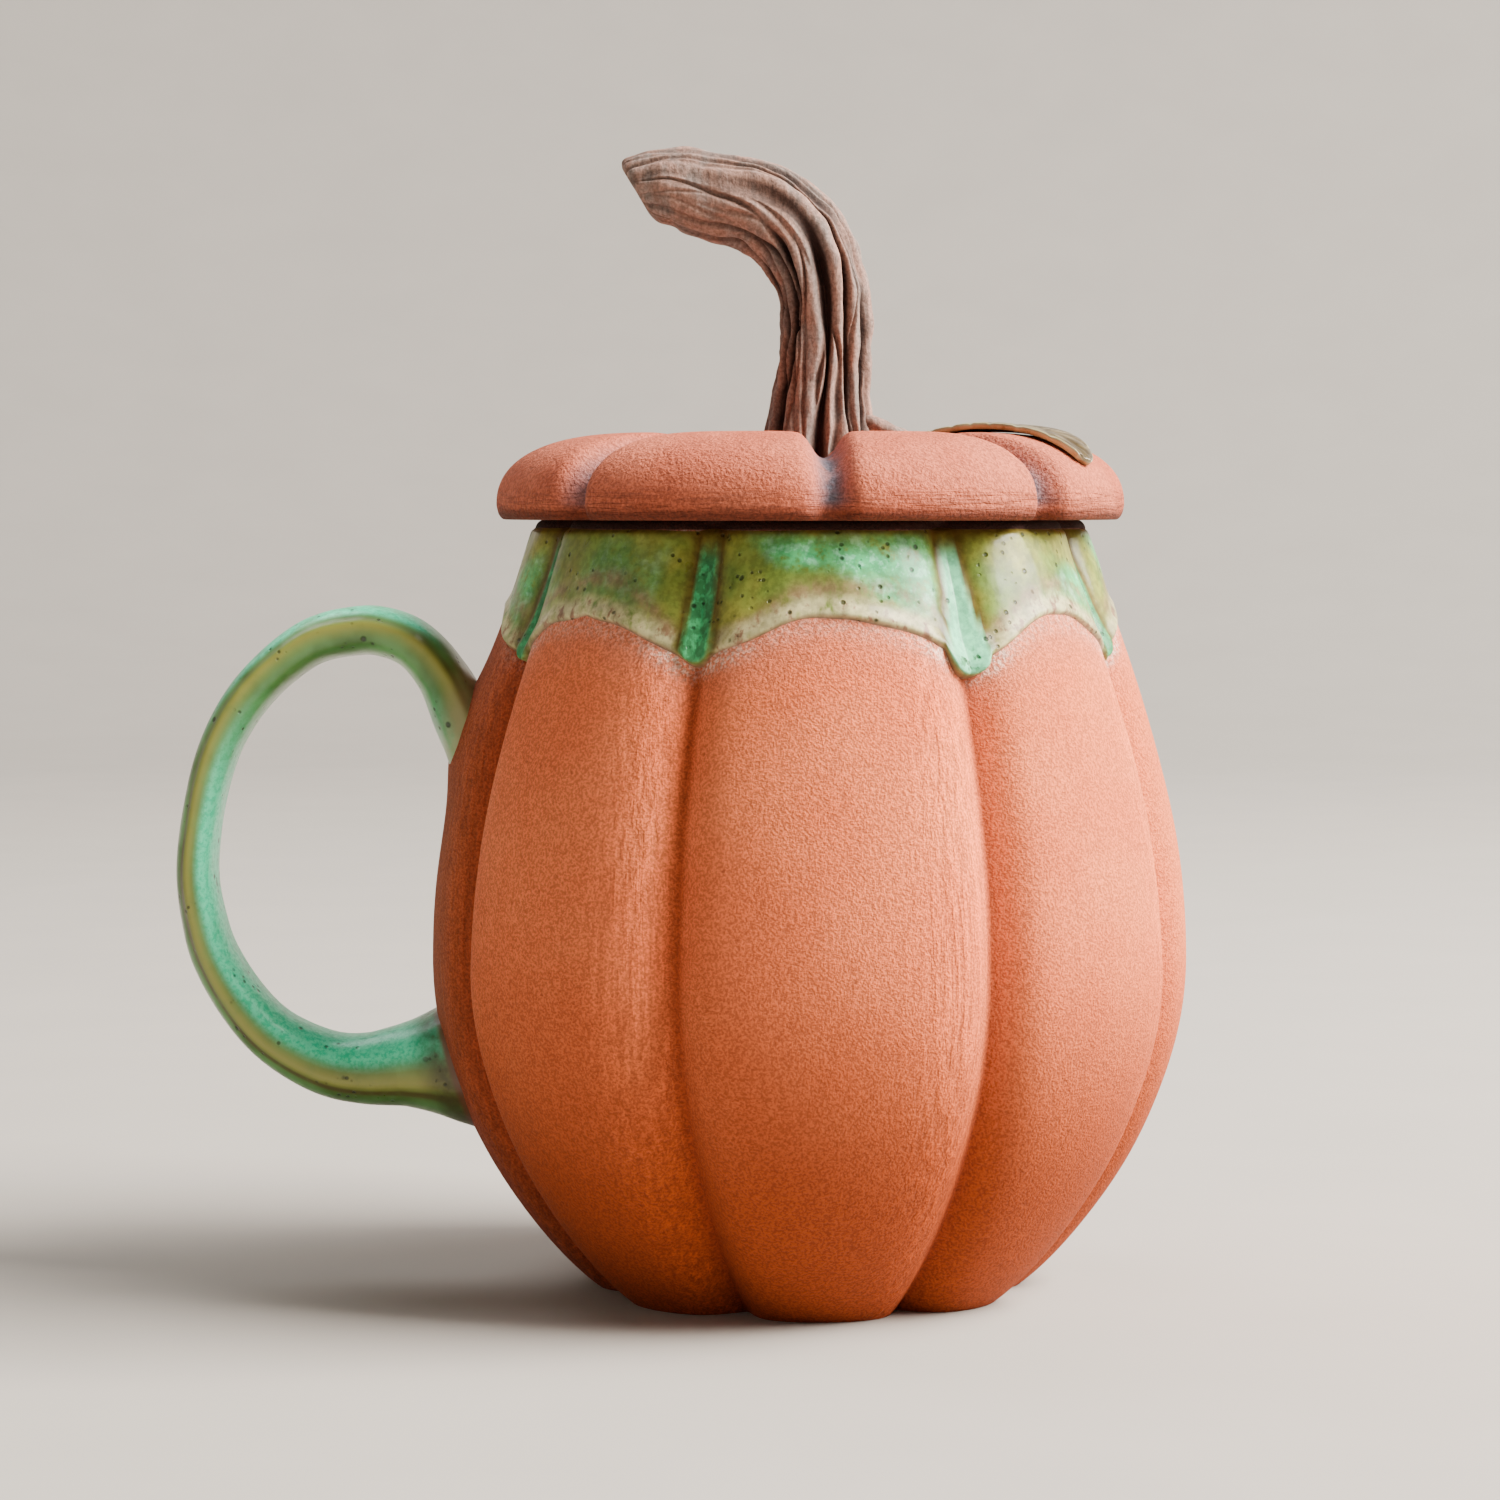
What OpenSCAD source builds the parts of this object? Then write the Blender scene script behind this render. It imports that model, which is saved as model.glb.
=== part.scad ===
// Lidded pumpkin mug: a lobed red stoneware cup with a glazed collar and a strap handle,
// and a lobed lid with a locating flange, a bent stem, and a leaf on a thin stalk.
// Origin at the centre of the foot, +Z up, the handle towards -X, the front towards -Y.

/* [Mug] */
// Radius of the belly over the lobe crests
belly_r = 53.2; // [51:0.2:55]
// Height of the belly's widest ring
belly_z = 46.5; // [44:0.5:49]
// Radius of the foot over the lobe crests
foot_r = 30; // [28:0.5:32]
// Height of the rim
rim_z = 108; // [106:0.2:110]
// Outer radius of the rim over the lobe crests
rim_r = 38.7; // [38:0.1:39.4]
// Radius of the edge that rounds the rim over
rim_edge = 1.4; // [0.8:0.1:1.8]
// Inner radius of the mouth
mouth_r = 33.5; // [33:0.1:33.8]
// Wall thickness over the lobe crests
wall = 7.2; // [6.8:0.1:7.6]
// Thickness of the floor
floor_t = 6.5; // [5.5:0.5:8]
// Radius of the shallow recess under the foot
recess_r = 17; // [14:1:19]
// Depth of the recess under the foot
recess_h = 1.2; // [0.8:0.1:2]

/* [Grooves] */
// Depth of the broad hollow between two lobes at the belly
body_hollow = 1.5; // [1:0.1:1.6]
// Depth of the crease in the middle of that hollow
body_crease = 2.6; // [1.8:0.1:2.7]
// Half width of the body's creases
body_crease_w = 3; // [2:0.1:3.4]
// Depth of the lid's grooves
lid_crease = 2.6; // [1.6:0.1:2.8]
// Half width of the lid's grooves
lid_crease_w = 2.2; // [1.6:0.1:2.6]

/* [Glaze] */
// Thickness of the collar's glaze
glaze_t = 0.5; // [0.3:0.1:0.8]
// Extra thickness where the glaze runs down a crease
glaze_run = 1; // [0.4:0.1:1.2]
// Thickness of the glaze that lines the cup
liner_t = 0.4; // [0.3:0.1:0.6]

/* [Handle] */
// Scale of the strap's section
strap_scale = 1; // [0.9:0.05:1.1]
// Thickness of the clay smoothed round the strap's upper end
upper_fillet = 1.3; // [0.8:0.1:1.6]
// Thickness of the clay smoothed round the strap's lower end
lower_fillet = 2.8; // [2:0.1:3]

/* [Lid] */
// Radius of the lid over the lobe crests
lid_r = 44.2; // [43:0.1:45.4]
// Height of the lid's dome over its underside
lid_h = 12; // [11:0.2:13]
// Thickness of the lid
lid_t = 6; // [5:0.5:7]
// Outer radius of the locating flange
flange_r = 32.7; // [32:0.1:32.8]
// Width of the flange
flange_w = 4; // [3:0.5:5]
// Depth of the flange below the lid's underside
flange_h = 6.5; // [5:0.5:8]

/* [Stem and leaf] */
// Radius of the stem at its middle
stem_r = 6.8; // [6.2:0.1:7.4]
// Depth of the ridges on the stem
stem_ridge = 0.9; // [0.4:0.1:1.1]
// Thickness of the leaf
leaf_t = 1.2; // [1.1:0.1:1.8]
// Half width of the leaf
leaf_w = 8; // [7:0.5:10]

/* [Hidden] */
$fn = 96;

// Angles are measured from the front (-Y) towards +X. The grooves are carved by hand,
// so none is quite evenly spaced.
body_grooves = [-68, -21, 29.5, 73.5, 117, 161, 205, 249];
lid_grooves = [-47.5, 4, 48, 92, 136, 180, 224, 268];
handle_angle = -90;
lobe_steps = 12;

clay = [0.74, 0.40, 0.28];
glaze_green = [0.43, 0.62, 0.42];
liner_white = [0.72, 0.76, 0.66];
stem_brown = [0.36, 0.25, 0.21];
leaf_bronze = [0.42, 0.37, 0.25];

// Control points [radius, height] of the body's outline: foot to belly, then belly to the edge of the rim.
foot_curve = [[foot_r, 0], [foot_r + 7.5, 5.5], [belly_r, belly_z - 22], [belly_r, belly_z]];
shoulder_curve = [
    [belly_r, belly_z], [belly_r, belly_z + 22],
    [rim_r + 7.2, rim_z - 22.2], [rim_r, rim_z - rim_edge]
];
// Where on the shoulder curve the collar's glaze ends, in a crease and at a lobe's middle.
glaze_end_crease = 0.70;
glaze_end_lobe = 0.81;
// The handle's lobe is fuller below the upper joint, where the strap was pressed on.
press_z = 78;
press_depth = 2;
press_height = 8;
press_angle = 14;

// Lid outline [radius, height]: under edge, side and dome, then the top towards the stem.
lid_z = rim_z;
lid_top_z = lid_z + lid_h;
lid_edge = 2.3;
side_curve = [
    [lid_r, lid_z + lid_edge], [lid_r, lid_z + 7.8],
    [lid_r - 5.7, lid_top_z], [lid_r - 18.7, lid_top_z]
];
top_curve = [
    [lid_r - 18.7, lid_top_z], [22, lid_top_z],
    [15, lid_top_z - 1.9], [7, lid_top_z - 2.2]
];
dome_w = 26;

// The handle's centre line [x, z], from inside the upper wall round to inside the lower wall,
// and the strap's [thickness, width] at each of its points.
strap_line = [
    [-44, 71.5], [-48.6, 79.6], [-51.5, 85.6], [-54.9, 89.8], [-58.9, 91.9], [-63.5, 92.4], [-70.8, 90.4],
    [-78.8, 83.4], [-84, 73.6], [-86.4, 60], [-85.2, 50.5], [-82.8, 44.2], [-78.8, 38.3], [-74.4, 34.3],
    [-68.3, 31.3], [-62.5, 30.4], [-56.5, 30.9], [-50.5, 31.5], [-45, 31.8]
];
strap_size = [
    [8.6, 16], [8, 15.6], [7.7, 15.2], [7.4, 14.8], [7.4, 14.4], [7.4, 14], [7.1, 13.6],
    [6.6, 13.2], [6.2, 13], [6, 13], [6.4, 13], [6.9, 13], [7.7, 13.2], [8.5, 13.6],
    [9.4, 14], [10.4, 14.6], [12.2, 15.4], [14.6, 16.4], [16, 17]
];
strap_steps = 2;
strap_sides = 20;

// The stem's centre line [x, y, z] and the scale of its section there.
stem_foot_z = lid_top_z - 3.8;
stem_line = [[1.5, 0, stem_foot_z], [1.6, 0, 122.5], [1.9, 0, 128.5], [2.1, 0, 135], [1.4, 0, 141],
             [-1.6, 0, 147.4], [-7, 0, 151.5], [-13.6, 0, 153], [-19, 0, 154], [-23.2, 0, 153.8]];
stem_scale = [1.34, 1.15, 1.04, 1.02, 1.03, 1.05, 1.02, 0.96, 0.88, 0.7];
stem_ridges = 9;
stem_steps = 4;
stem_sides = 36;
stem_cut_lean = 0.7;

// The leaf's middle line in plan [x, y], from the stalk to the tip over the lid's shoulder.
leaf_line = [[13.6, 2.6], [21, -1.6], [29.2, -8], [36.6, -20.4]];
leaf_lift = 0.1;
leaf_curl = 0.4;

// A thin roll of clay from the stem's foot down to the lid and along it to the leaf.
stalk_line = [
    [6, -1.5, lid_top_z + 2.4], [9.4, -2.2, lid_top_z + 1.2],
    [12.2, -0.6, lid_top_z - 0.1], [14, 1.6, lid_top_z - 1]
];
stalk_r = 1.1;

function bezier(p, t) =
    pow(1 - t, 3) * p[0] + 3 * t * pow(1 - t, 2) * p[1] + 3 * t * t * (1 - t) * p[2] + pow(t, 3) * p[3];
function mix(a, b, t) = a + (b - a) * t;
function bell(x, w) = exp(-pow(x / w, 2));
function unit(v) = v / norm(v);

// A smooth curve through points p, with n steps between each two.
function between(a, b, c, d, t) =
    0.5 * (
        2 * b + (c - a) * t
        + (2 * a - 5 * b + 4 * c - d) * t * t
        + (3 * b - a - 3 * c + d) * t * t * t
    );
function through(p, n) = let(last = len(p) - 1) [
    for (i = [0:last - 1]) for (k = [0:n - 1])
        between(p[max(i - 1, 0)], p[i], p[i + 1], p[min(i + 2, last)], k / n),
    p[last]
];
function heading(line, i) = unit(line[min(i + 1, len(line) - 1)] - line[max(i - 1, 0)]);

// Columns [angle, 0 in the groove to 1 on the crest, half the lobe's angle], closest near the grooves.
function columns(grooves) = [
    for (i = [0:len(grooves) - 1])
        let(a = grooves[i], b = i < len(grooves) - 1 ? grooves[i + 1] : grooves[0] + 360)
            for (j = [0:lobe_steps - 1])
                let(f = 0.5 - 0.5 * cos(180 * j / lobe_steps))
                    [mix(a, b, f), 1 - abs(2 * f - 1), (b - a) / 2]
];
function polar(angle, r, z) = [r * sin(angle), -r * cos(angle), z];
// Distance along the surface from the nearest groove.
function from_groove(c, r) = c[1] * c[2] * PI / 180 * r;

// The body's surface: v runs 0 to 1 from foot to belly, to 2 at the glaze's lower edge,
// to 3 at the rim's edge, to 4 on its top.
function glaze_end(c) = mix(glaze_end_crease, glaze_end_lobe, pow(sin(90 * c[1]), 0.8));
function body_outline(v, c) =
    v <= 1 ? bezier(foot_curve, v) :
    v <= 2 ? bezier(shoulder_curve, (v - 1) * glaze_end(c)) :
    v <= 3 ? bezier(shoulder_curve, mix(glaze_end(c), 1, v - 2)) :
    let(a = (v - 3) * 90) [rim_r - rim_edge * (1 - cos(a)), rim_z - rim_edge * (1 - sin(a))];
function lobe_depth(c, r, z) =
    let(high = max(0, (z - belly_z) / (rim_z - belly_z)), low = max(0, 1 - z / belly_z))
        (body_hollow + 1.2 * low + 0.2 * high) * pow(1 - c[1], 2)
        + (body_crease + 0.4 * low - high) * exp(-pow(from_groove(c, r) / body_crease_w, 1.3));
function pressed(angle, z) =
    let(away = abs(angle - handle_angle) > 180 ? 360 - abs(angle - handle_angle) : abs(angle - handle_angle))
        press_depth * bell(away, press_angle) * bell(z - press_z, press_height);
function body_point(v, c, grow = 0) =
    let(o = body_outline(v, c), r = o[0] - lobe_depth(c, o[0], o[1]) + pressed(c[0], o[1]))
        polar(c[0], r + grow, o[1]);
function body_ring(v, grow = 0) = [for (c = columns(body_grooves)) body_point(v, c, grow)];

// The lid's surface: v runs 0 to 1 round the under edge, to 2 up the side and over, to 3 towards the stem.
function lid_outline(v) =
    v <= 1 ? let(a = 90 * v) [lid_r - 1.2 * (1 - sin(a)), lid_z + lid_edge * (1 - cos(a))] :
    v <= 2 ? bezier(side_curve, v - 1) : bezier(top_curve, v - 2);
function lid_depth(c, r) =
    1.1 * pow(1 - c[1], 4) * min(1, r / dome_w)
    + lid_crease * exp(-pow(from_groove(c, r) / lid_crease_w, 3)) * min(1, r / 12);
// The groove is cut square to the surface: inwards on the side, downwards on the top.
function lid_lean(v) = v <= 1 ? 0 : v <= 2 ? pow(sin(90 * (v - 1)), 2) * 90 : 90;
function lid_point(v, c) =
    let(o = lid_outline(v), d = lid_depth(c, o[0]), a = lid_lean(v))
        polar(c[0], o[0] - d * cos(a), max(o[1] - d * sin(a), lid_z));
function lid_ring(v) = [for (c = columns(lid_grooves)) lid_point(v, c)];

function flat(rows) = [for (r = rows) for (p = r) p];
function centre(ring) = [for (k = [0:2]) let(v = [for (p = ring) p[k]]) sum(v) / len(v)];
function sum(v, i = 0) = i < len(v) ? v[i] + sum(v, i + 1) : 0;
function wall_faces(rows, cols, start = 0, out = true) = [
    for (i = [0:rows - 2]) for (j = [0:cols - 1])
        let(a = start + i * cols + j, b = start + i * cols + (j + 1) % cols, c = a + cols, d = b + cols)
            each (out ? [[a, c, d], [a, d, b]] : [[a, d, c], [a, b, d]])
];
function fan(first, cols, hub, out) = [
    for (j = [0:cols - 1]) let(a = first + j, b = first + (j + 1) % cols) out ? [hub, a, b] : [hub, b, a]
];
function ring_faces(a, b, cols, out) = [
    for (j = [0:cols - 1])
        let(k = (j + 1) % cols, near = [a + j, a + k], far = [b + j, b + k]) each (out
            ? [[near[0], far[0], far[1]], [near[0], far[1], near[1]]]
            : [[near[0], far[1], far[0]], [near[0], near[1], far[1]]])
];

// A closed solid whose surface runs through the rings, capped at its first and last ring.
module ringed_solid(rings) {
    rows = len(rings);
    cols = len(rings[0]);
    polyhedron(
        points = concat(flat(rings), [centre(rings[0]), centre(rings[rows - 1])]),
        faces = concat(
            wall_faces(rows, cols),
            fan(0, cols, rows * cols, true),
            fan((rows - 1) * cols, cols, rows * cols + 1, false)
        )
    );
}

// A closed skin between two sets of rings.
module ringed_skin(inner, outer) {
    rows = len(inner);
    cols = len(inner[0]);
    size = rows * cols;
    polyhedron(
        points = concat(flat(inner), flat(outer)),
        faces = concat(
            wall_faces(rows, cols, 0, false),
            wall_faces(rows, cols, size, true),
            ring_faces(0, size, cols, true),
            ring_faces(size - cols, 2 * size - cols, cols, false)
        )
    );
}

// The part of a ringed solid between two columns, closed along its axis:
// a light cutter for what sits on one side.
module ringed_wedge(rings, first, last) {
    cols = last - first + 1;
    rows = len(rings);
    hub = rows * cols;
    top = hub - cols;
    outside = [
        for (i = [0:rows - 2]) for (j = [0:cols - 2])
            let(a = i * cols + j, c = a + cols) each [[a, c, c + 1], [a, c + 1, a + 1]]
    ];
    ends = [for (j = [0:cols - 2]) each [[hub, j, j + 1], [hub + 1, top + j + 1, top + j]]];
    sides = [
        for (i = [0:rows - 2])
            let(a = i * cols, b = a + cols - 1) each [[hub, a + cols, a], [hub, b, b + cols]]
    ];
    polyhedron(
        points = concat(
            flat([for (r = rings) [for (j = [first:last]) r[j]]]),
            [[0, 0, rings[0][0][2]], [0, 0, rings[rows - 1][0][2]]]
        ),
        faces = concat(outside, ends, sides, [[hub, hub + 1, top], [hub, hub - 1, hub + 1]])
    );
}

body_rows = concat(
    [for (i = [0:8]) i / 8],
    [for (i = [1:7]) 1 + i / 7],
    [for (i = [1:4]) 2 + i / 4],
    [for (i = [1:3]) 3 + i / 3]
);
body_rings = [for (v = body_rows) body_ring(v)];
// The handle sits on the last lobe, from the groove at -110 degrees to the one at -65.
handle_lobe = (len(body_grooves) - 1) * lobe_steps;
module handle_side() {
    ringed_wedge([for (r = body_rings) concat(r, [r[0]])], handle_lobe, handle_lobe + lobe_steps);
}

// The inside is turned: the outline less the wall, from the floor to the mouth, and a small flare at the lip.
function inside_outline(inset) = [
    for (k = [0:20])
        let(
            t = k / 20,
            o = t < 0.5 ? bezier(foot_curve, 0.2 + 1.6 * t) : bezier(shoulder_curve, (t - 0.5) * 2),
            lean = t < 0.5 ? wall : mix(wall, rim_r - mouth_r, (t - 0.5) * 2)
        ) [o[0] - lean - inset, max(o[1], floor_t + inset)]
];
module cup_space(inset, top, lip) {
    curve = [for (p = inside_outline(inset)) if (p[1] > floor_t + inset + 0.6) p];
    corner = curve[0];
    rotate_extrude() polygon(concat(
        [[0, floor_t + inset], [corner[0] - 4, floor_t + inset], [corner[0] - 1.4, floor_t + inset + 0.5]],
        curve,
        [[mouth_r - inset, rim_z - 1.2], [mouth_r - inset + lip * 0.3, rim_z - 0.4]],
        [[mouth_r - inset + lip, top], [0, top]]
    ));
}

module mug_body() {
    color(clay) difference() {
        ringed_solid(body_rings);
        cup_space(0, rim_z + 0.01, 0.9);
        translate([0, 0, -1]) cylinder(r1 = recess_r + 1, r2 = recess_r, h = 1 + recess_h);
    }
}

// Glaze that lines the cup, stopping just below the lip.
module liner_glaze() {
    top = rim_z - 1.2;
    color(liner_white) difference() {
        intersection() {
            cup_space(0, rim_z, 0);
            cylinder(r = belly_r, h = top - 2 * liner_t);
        }
        cup_space(liner_t, rim_z + 1, 0);
    }
}

// Glaze on the collar: scalloped along its lower edge, thicker where it runs down each crease.
collar_rows = [2, 2.25, 2.5, 2.75, 3];
function glaze_depth(v, c) =
    let(end = 1 - 0.65 * bell(v - 2, 0.06) - 0.65 * bell(v - 3, 0.06))
        glaze_t * end + glaze_run * exp(-pow(c[1] / 0.16, 2)) * sin(180 * min(1, (3.15 - v) / 1.15));
module collar_glaze() {
    cols = columns(body_grooves);
    color(glaze_green) ringed_skin(
        [for (v = collar_rows) [for (c = cols) body_point(v, c)]],
        [for (v = collar_rows) [for (c = cols) body_point(v, c, glaze_depth(v, c))]]
    );
}

// Takes a sine towards a square wave, which turns a round section into one with rounded corners.
function squarish(x) = sign(x) * pow(abs(x), 0.8);

// The strap's rings, all lying across its centre line.
strap_path = through(strap_line, strap_steps);
strap_sizes = through(strap_size, strap_steps);
function strap_ring(i, grow = 0) =
    let(h = heading(strap_path, i), s = strap_sizes[i] * strap_scale / 2 + [grow, grow]) [
        for (k = [0:strap_sides - 1])
            let(a = 360 * k / strap_sides, n = s[0] * squarish(cos(a)))
                [strap_path[i][0] - h[1] * n, -s[1] * squarish(sin(a)), strap_path[i][1] + h[0] * n]
    ];
strap_last = len(strap_path) - 1;
module handle() {
    color(glaze_green) difference() {
        ringed_solid([for (i = [0:strap_last]) strap_ring(i)]);
        handle_side();
    }
}

// Soft clay smoothed round the strap, thickest inside the wall and gone by the far ring.
module joint_fillet(wall_ring, far_ring, thick) {
    span = far_ring - wall_ring;
    rings = span > 0 ? [wall_ring:far_ring] : [far_ring:wall_ring];
    color(clay) difference() {
        ringed_skin(
            [for (i = rings) strap_ring(i)],
            [for (i = rings) strap_ring(i, 0.15 + thick * pow((far_ring - i) / span, 1.6))]
        );
        handle_side();
    }
}
module upper_joint_fillet() { joint_fillet(0, 5, upper_fillet); }
module lower_joint_fillet() { joint_fillet(strap_last, strap_last - 5, lower_fillet); }

lid_rows = concat([for (i = [0:2]) i / 2], [for (i = [1:7]) 1 + i / 7], [for (i = [1:4]) 2 + i / 4]);
lid_rings = [for (v = lid_rows) lid_ring(v)];
// The lid's middle, as a block under its top surface: a light cutter for what stands on it.
top_row = 9;
module lid_middle() {
    ringed_solid(concat(
        [[for (p = lid_rings[top_row]) [p[0], p[1], lid_z]]],
        [for (i = [top_row:len(lid_rows) - 1]) lid_rings[i]]
    ));
}
// The leaf lies over the lobes between these two columns.
module leaf_side() { ringed_wedge(lid_rings, lobe_steps, 4 * lobe_steps); }

// The hollow under the dome, inside the flange.
hollow_r = flange_r - flange_w;
module lid_hollow(inset) {
    top = lid_top_z - lid_t - 1 - inset;
    r = hollow_r - inset;
    rotate_extrude() polygon([
        [0, lid_z - 0.01], [r, lid_z - 0.01], [r, lid_z + 1.5],
        [r - 1.2, lid_z + 3.4], [r - 4, top - 0.5], [r - 8, top], [0, top]
    ]);
}

module lid_cap() {
    color(clay) difference() {
        ringed_solid(lid_rings);
        lid_hollow(0);
    }
}

module lid_flange() {
    bottom = lid_z - flange_h;
    edge = 1.1;
    corner = edge * 0.3;
    color(clay) rotate_extrude() polygon([
        [hollow_r, lid_z], [hollow_r, bottom + edge],
        [hollow_r + corner, bottom + corner], [hollow_r + edge, bottom],
        [flange_r - edge, bottom], [flange_r - corner, bottom + corner],
        [flange_r, bottom + edge], [flange_r, lid_z]
    ]);
}

// Glaze over the inside of the lid's dome.
module lid_liner_glaze() {
    color(liner_white) difference() {
        intersection() {
            lid_hollow(0);
            translate([0, 0, lid_z + 0.4]) cylinder(r = lid_r, h = lid_h);
        }
        lid_hollow(liner_t);
    }
}

// The stem's rings follow its line, with ridges that wander slowly round it.
stem_path = through(stem_line, stem_steps);
stem_scales = through(stem_scale, stem_steps);
stem_last = len(stem_path) - 1;
function stem_ring(i) =
    let(
        t = i / stem_last,
        h = heading(stem_path, i),
        side = [0, 1, 0],
        up = cross(h, side),
        lean = stem_cut_lean * pow(t, 6),
        deep = stem_ridge * (1 - 0.7 * pow(t, 3))
    ) [
        for (k = [0:stem_sides - 1])
            let(
                a = 360 * k / stem_sides,
                r = stem_r * stem_scales[i] - deep * (0.5 - 0.5 * cos(stem_ridges * a + 70 * t))
            ) stem_path[i] + (up * cos(a) - side * sin(a)) * r - h * (lean * r * cos(a))
    ];
module stem() {
    color(stem_brown) difference() {
        ringed_solid([for (i = [0:stem_last]) stem_ring(i)]);
        lid_middle();
    }
}

// The leaf is a thin blade that follows the dome, with its edges curled up off it.
leaf_steps = 5;
leaf_cross = 8;
leaf_path = through(leaf_line, leaf_steps);
leaf_last = len(leaf_path) - 1;
dome_curve = concat([[0, lid_outline(3)[1]]], [for (k = [0:40]) lid_outline(3 - k / 20)]);
function dome_z(r) = lookup(r, dome_curve);
function dome_normal(r) = unit([dome_z(r - 0.5) - dome_z(r + 0.5), 1]);
function leaf_half(t) = leaf_w * pow(sin(180 * mix(0.06, 0.98, pow(t, 0.8))), 0.8);
function leaf_point(i, w, up) =
    let(
        t = i / leaf_last,
        h = heading(leaf_path, i),
        p = leaf_path[i] + [h[1], -h[0]] * leaf_half(t) * w,
        r = norm(p),
        n = dome_normal(min(r, lid_r - 0.8)),
        lift = leaf_lift + leaf_curl * w * w * sin(150 * t) + up,
        reach = 1 + n[0] * lift / r
    ) [p[0] * reach, p[1] * reach, dome_z(r) + n[1] * lift];
function leaf_row(i) = concat(
    [for (k = [0:leaf_cross]) leaf_point(i, 1 - 2 * k / leaf_cross, 0)],
    [for (k = [leaf_cross:-1:0]) leaf_point(i, 1 - 2 * k / leaf_cross, leaf_t)]
);
module leaf_blade() { ringed_solid([for (i = [0:leaf_last]) leaf_row(i)]); }
module leaf() {
    color(leaf_bronze) difference() {
        leaf_blade();
        leaf_side();
    }
}

stalk_path = through(stalk_line, 3);
function stalk_ring(i) =
    let(h = heading(stalk_path, i), side = unit(cross(h, [0, 0, 1])), up = cross(side, h)) [
        for (k = [0:9]) stalk_path[i] + (side * cos(36 * k) - up * sin(36 * k)) * stalk_r
    ];
stem_foot_rings = 4 * stem_steps;
module leaf_stalk() {
    color(stem_brown) difference() {
        ringed_solid([for (i = [0:len(stalk_path) - 1]) stalk_ring(i)]);
        lid_middle();
        ringed_solid([for (i = [0:stem_foot_rings]) stem_ring(i)]);
        leaf_blade();
    }
}

mug_body();
liner_glaze();
collar_glaze();
handle();
upper_joint_fillet();
lower_joint_fillet();
lid_cap();
lid_flange();
lid_liner_glaze();
stem();
leaf();
leaf_stalk();
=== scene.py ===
"""Looks of the lidded pumpkin mug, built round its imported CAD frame.

The mug is worked out in millimetres, as in the CAD model, and becomes metres when its meshes are made.
The stage, the lamps and the camera are in metres.
Angles go round the mug from the front (-Y) towards +X, in degrees.
"""
import math

import bpy
import numpy as np
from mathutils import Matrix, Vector


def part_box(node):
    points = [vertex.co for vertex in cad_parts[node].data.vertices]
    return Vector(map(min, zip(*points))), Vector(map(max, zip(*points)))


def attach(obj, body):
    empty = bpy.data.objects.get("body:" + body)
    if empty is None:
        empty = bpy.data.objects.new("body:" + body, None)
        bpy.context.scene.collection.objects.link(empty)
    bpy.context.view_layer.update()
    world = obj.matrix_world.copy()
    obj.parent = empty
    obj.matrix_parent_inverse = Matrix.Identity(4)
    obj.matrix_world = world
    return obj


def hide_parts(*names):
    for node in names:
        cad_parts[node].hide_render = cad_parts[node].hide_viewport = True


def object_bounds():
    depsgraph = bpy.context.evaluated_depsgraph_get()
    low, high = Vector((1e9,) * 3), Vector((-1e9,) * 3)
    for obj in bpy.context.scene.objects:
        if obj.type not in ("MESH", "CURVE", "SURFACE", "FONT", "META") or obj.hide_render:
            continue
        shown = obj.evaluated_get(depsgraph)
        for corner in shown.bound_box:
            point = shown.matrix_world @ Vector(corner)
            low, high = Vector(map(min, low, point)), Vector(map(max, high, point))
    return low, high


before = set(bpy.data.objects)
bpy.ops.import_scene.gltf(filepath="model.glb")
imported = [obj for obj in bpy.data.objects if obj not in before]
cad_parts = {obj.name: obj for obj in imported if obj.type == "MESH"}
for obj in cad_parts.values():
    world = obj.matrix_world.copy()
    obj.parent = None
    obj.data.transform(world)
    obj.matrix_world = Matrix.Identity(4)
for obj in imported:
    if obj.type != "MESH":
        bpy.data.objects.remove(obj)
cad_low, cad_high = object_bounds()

MM = 0.001


def box_mm(node):
    """A CAD node's lowest and highest corner."""
    return tuple(np.array(corner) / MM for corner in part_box(node))


def reach_mm(node):
    """A CAD node's greatest distance from the mug's axis."""
    points = np.array([v.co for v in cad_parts[node].data.vertices])
    return float(np.hypot(points[:, 0], points[:, 1]).max()) / MM


# -------- sizes

RIM_Z = box_mm("mug_body")[1][2]
RIM_R = 38.7
RIM_EDGE = 1.4
RIM_CLAY = 1.4
BELLY_R = reach_mm("mug_body")
BELLY_Z = 46.5
FOOT_R = 30
RECESS_R = 17
RECESS_H = 1.2
WALL = 7.2
FLOOR_T = 6.5
MOUTH_R = 33.5
LINER_T = 0.4
LINER_TOP = RIM_Z - 2
FOOT_CURVE = [(FOOT_R, 0), (FOOT_R + 7.5, 5.5), (BELLY_R, BELLY_Z - 22), (BELLY_R, BELLY_Z)]
SHOULDER_CURVE = [
    (BELLY_R, BELLY_Z), (BELLY_R, BELLY_Z + 22), (RIM_R + 7.2, RIM_Z - 22.2), (RIM_R, RIM_Z - RIM_EDGE)
]
SHOULDER_LENGTH = 63

BODY_GROOVES = [-68, -21, 29.5, 73.5, 117, 161, 205, 249]
BODY_HOLLOW = 1.5
BODY_HOLLOW_LOW = 1.2
BODY_HOLLOW_HIGH = 0.2
BODY_CREASE = 3.2
BODY_CREASE_LOW = 0.4
BODY_CREASE_HIGH = -1
BODY_CREASE_W = 3.2
HANDLE_ANGLE = -90
PRESS_DEPTH = 2
PRESS_Z = 78
PRESS_HEIGHT = 8
PRESS_ANGLE = 14

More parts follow.
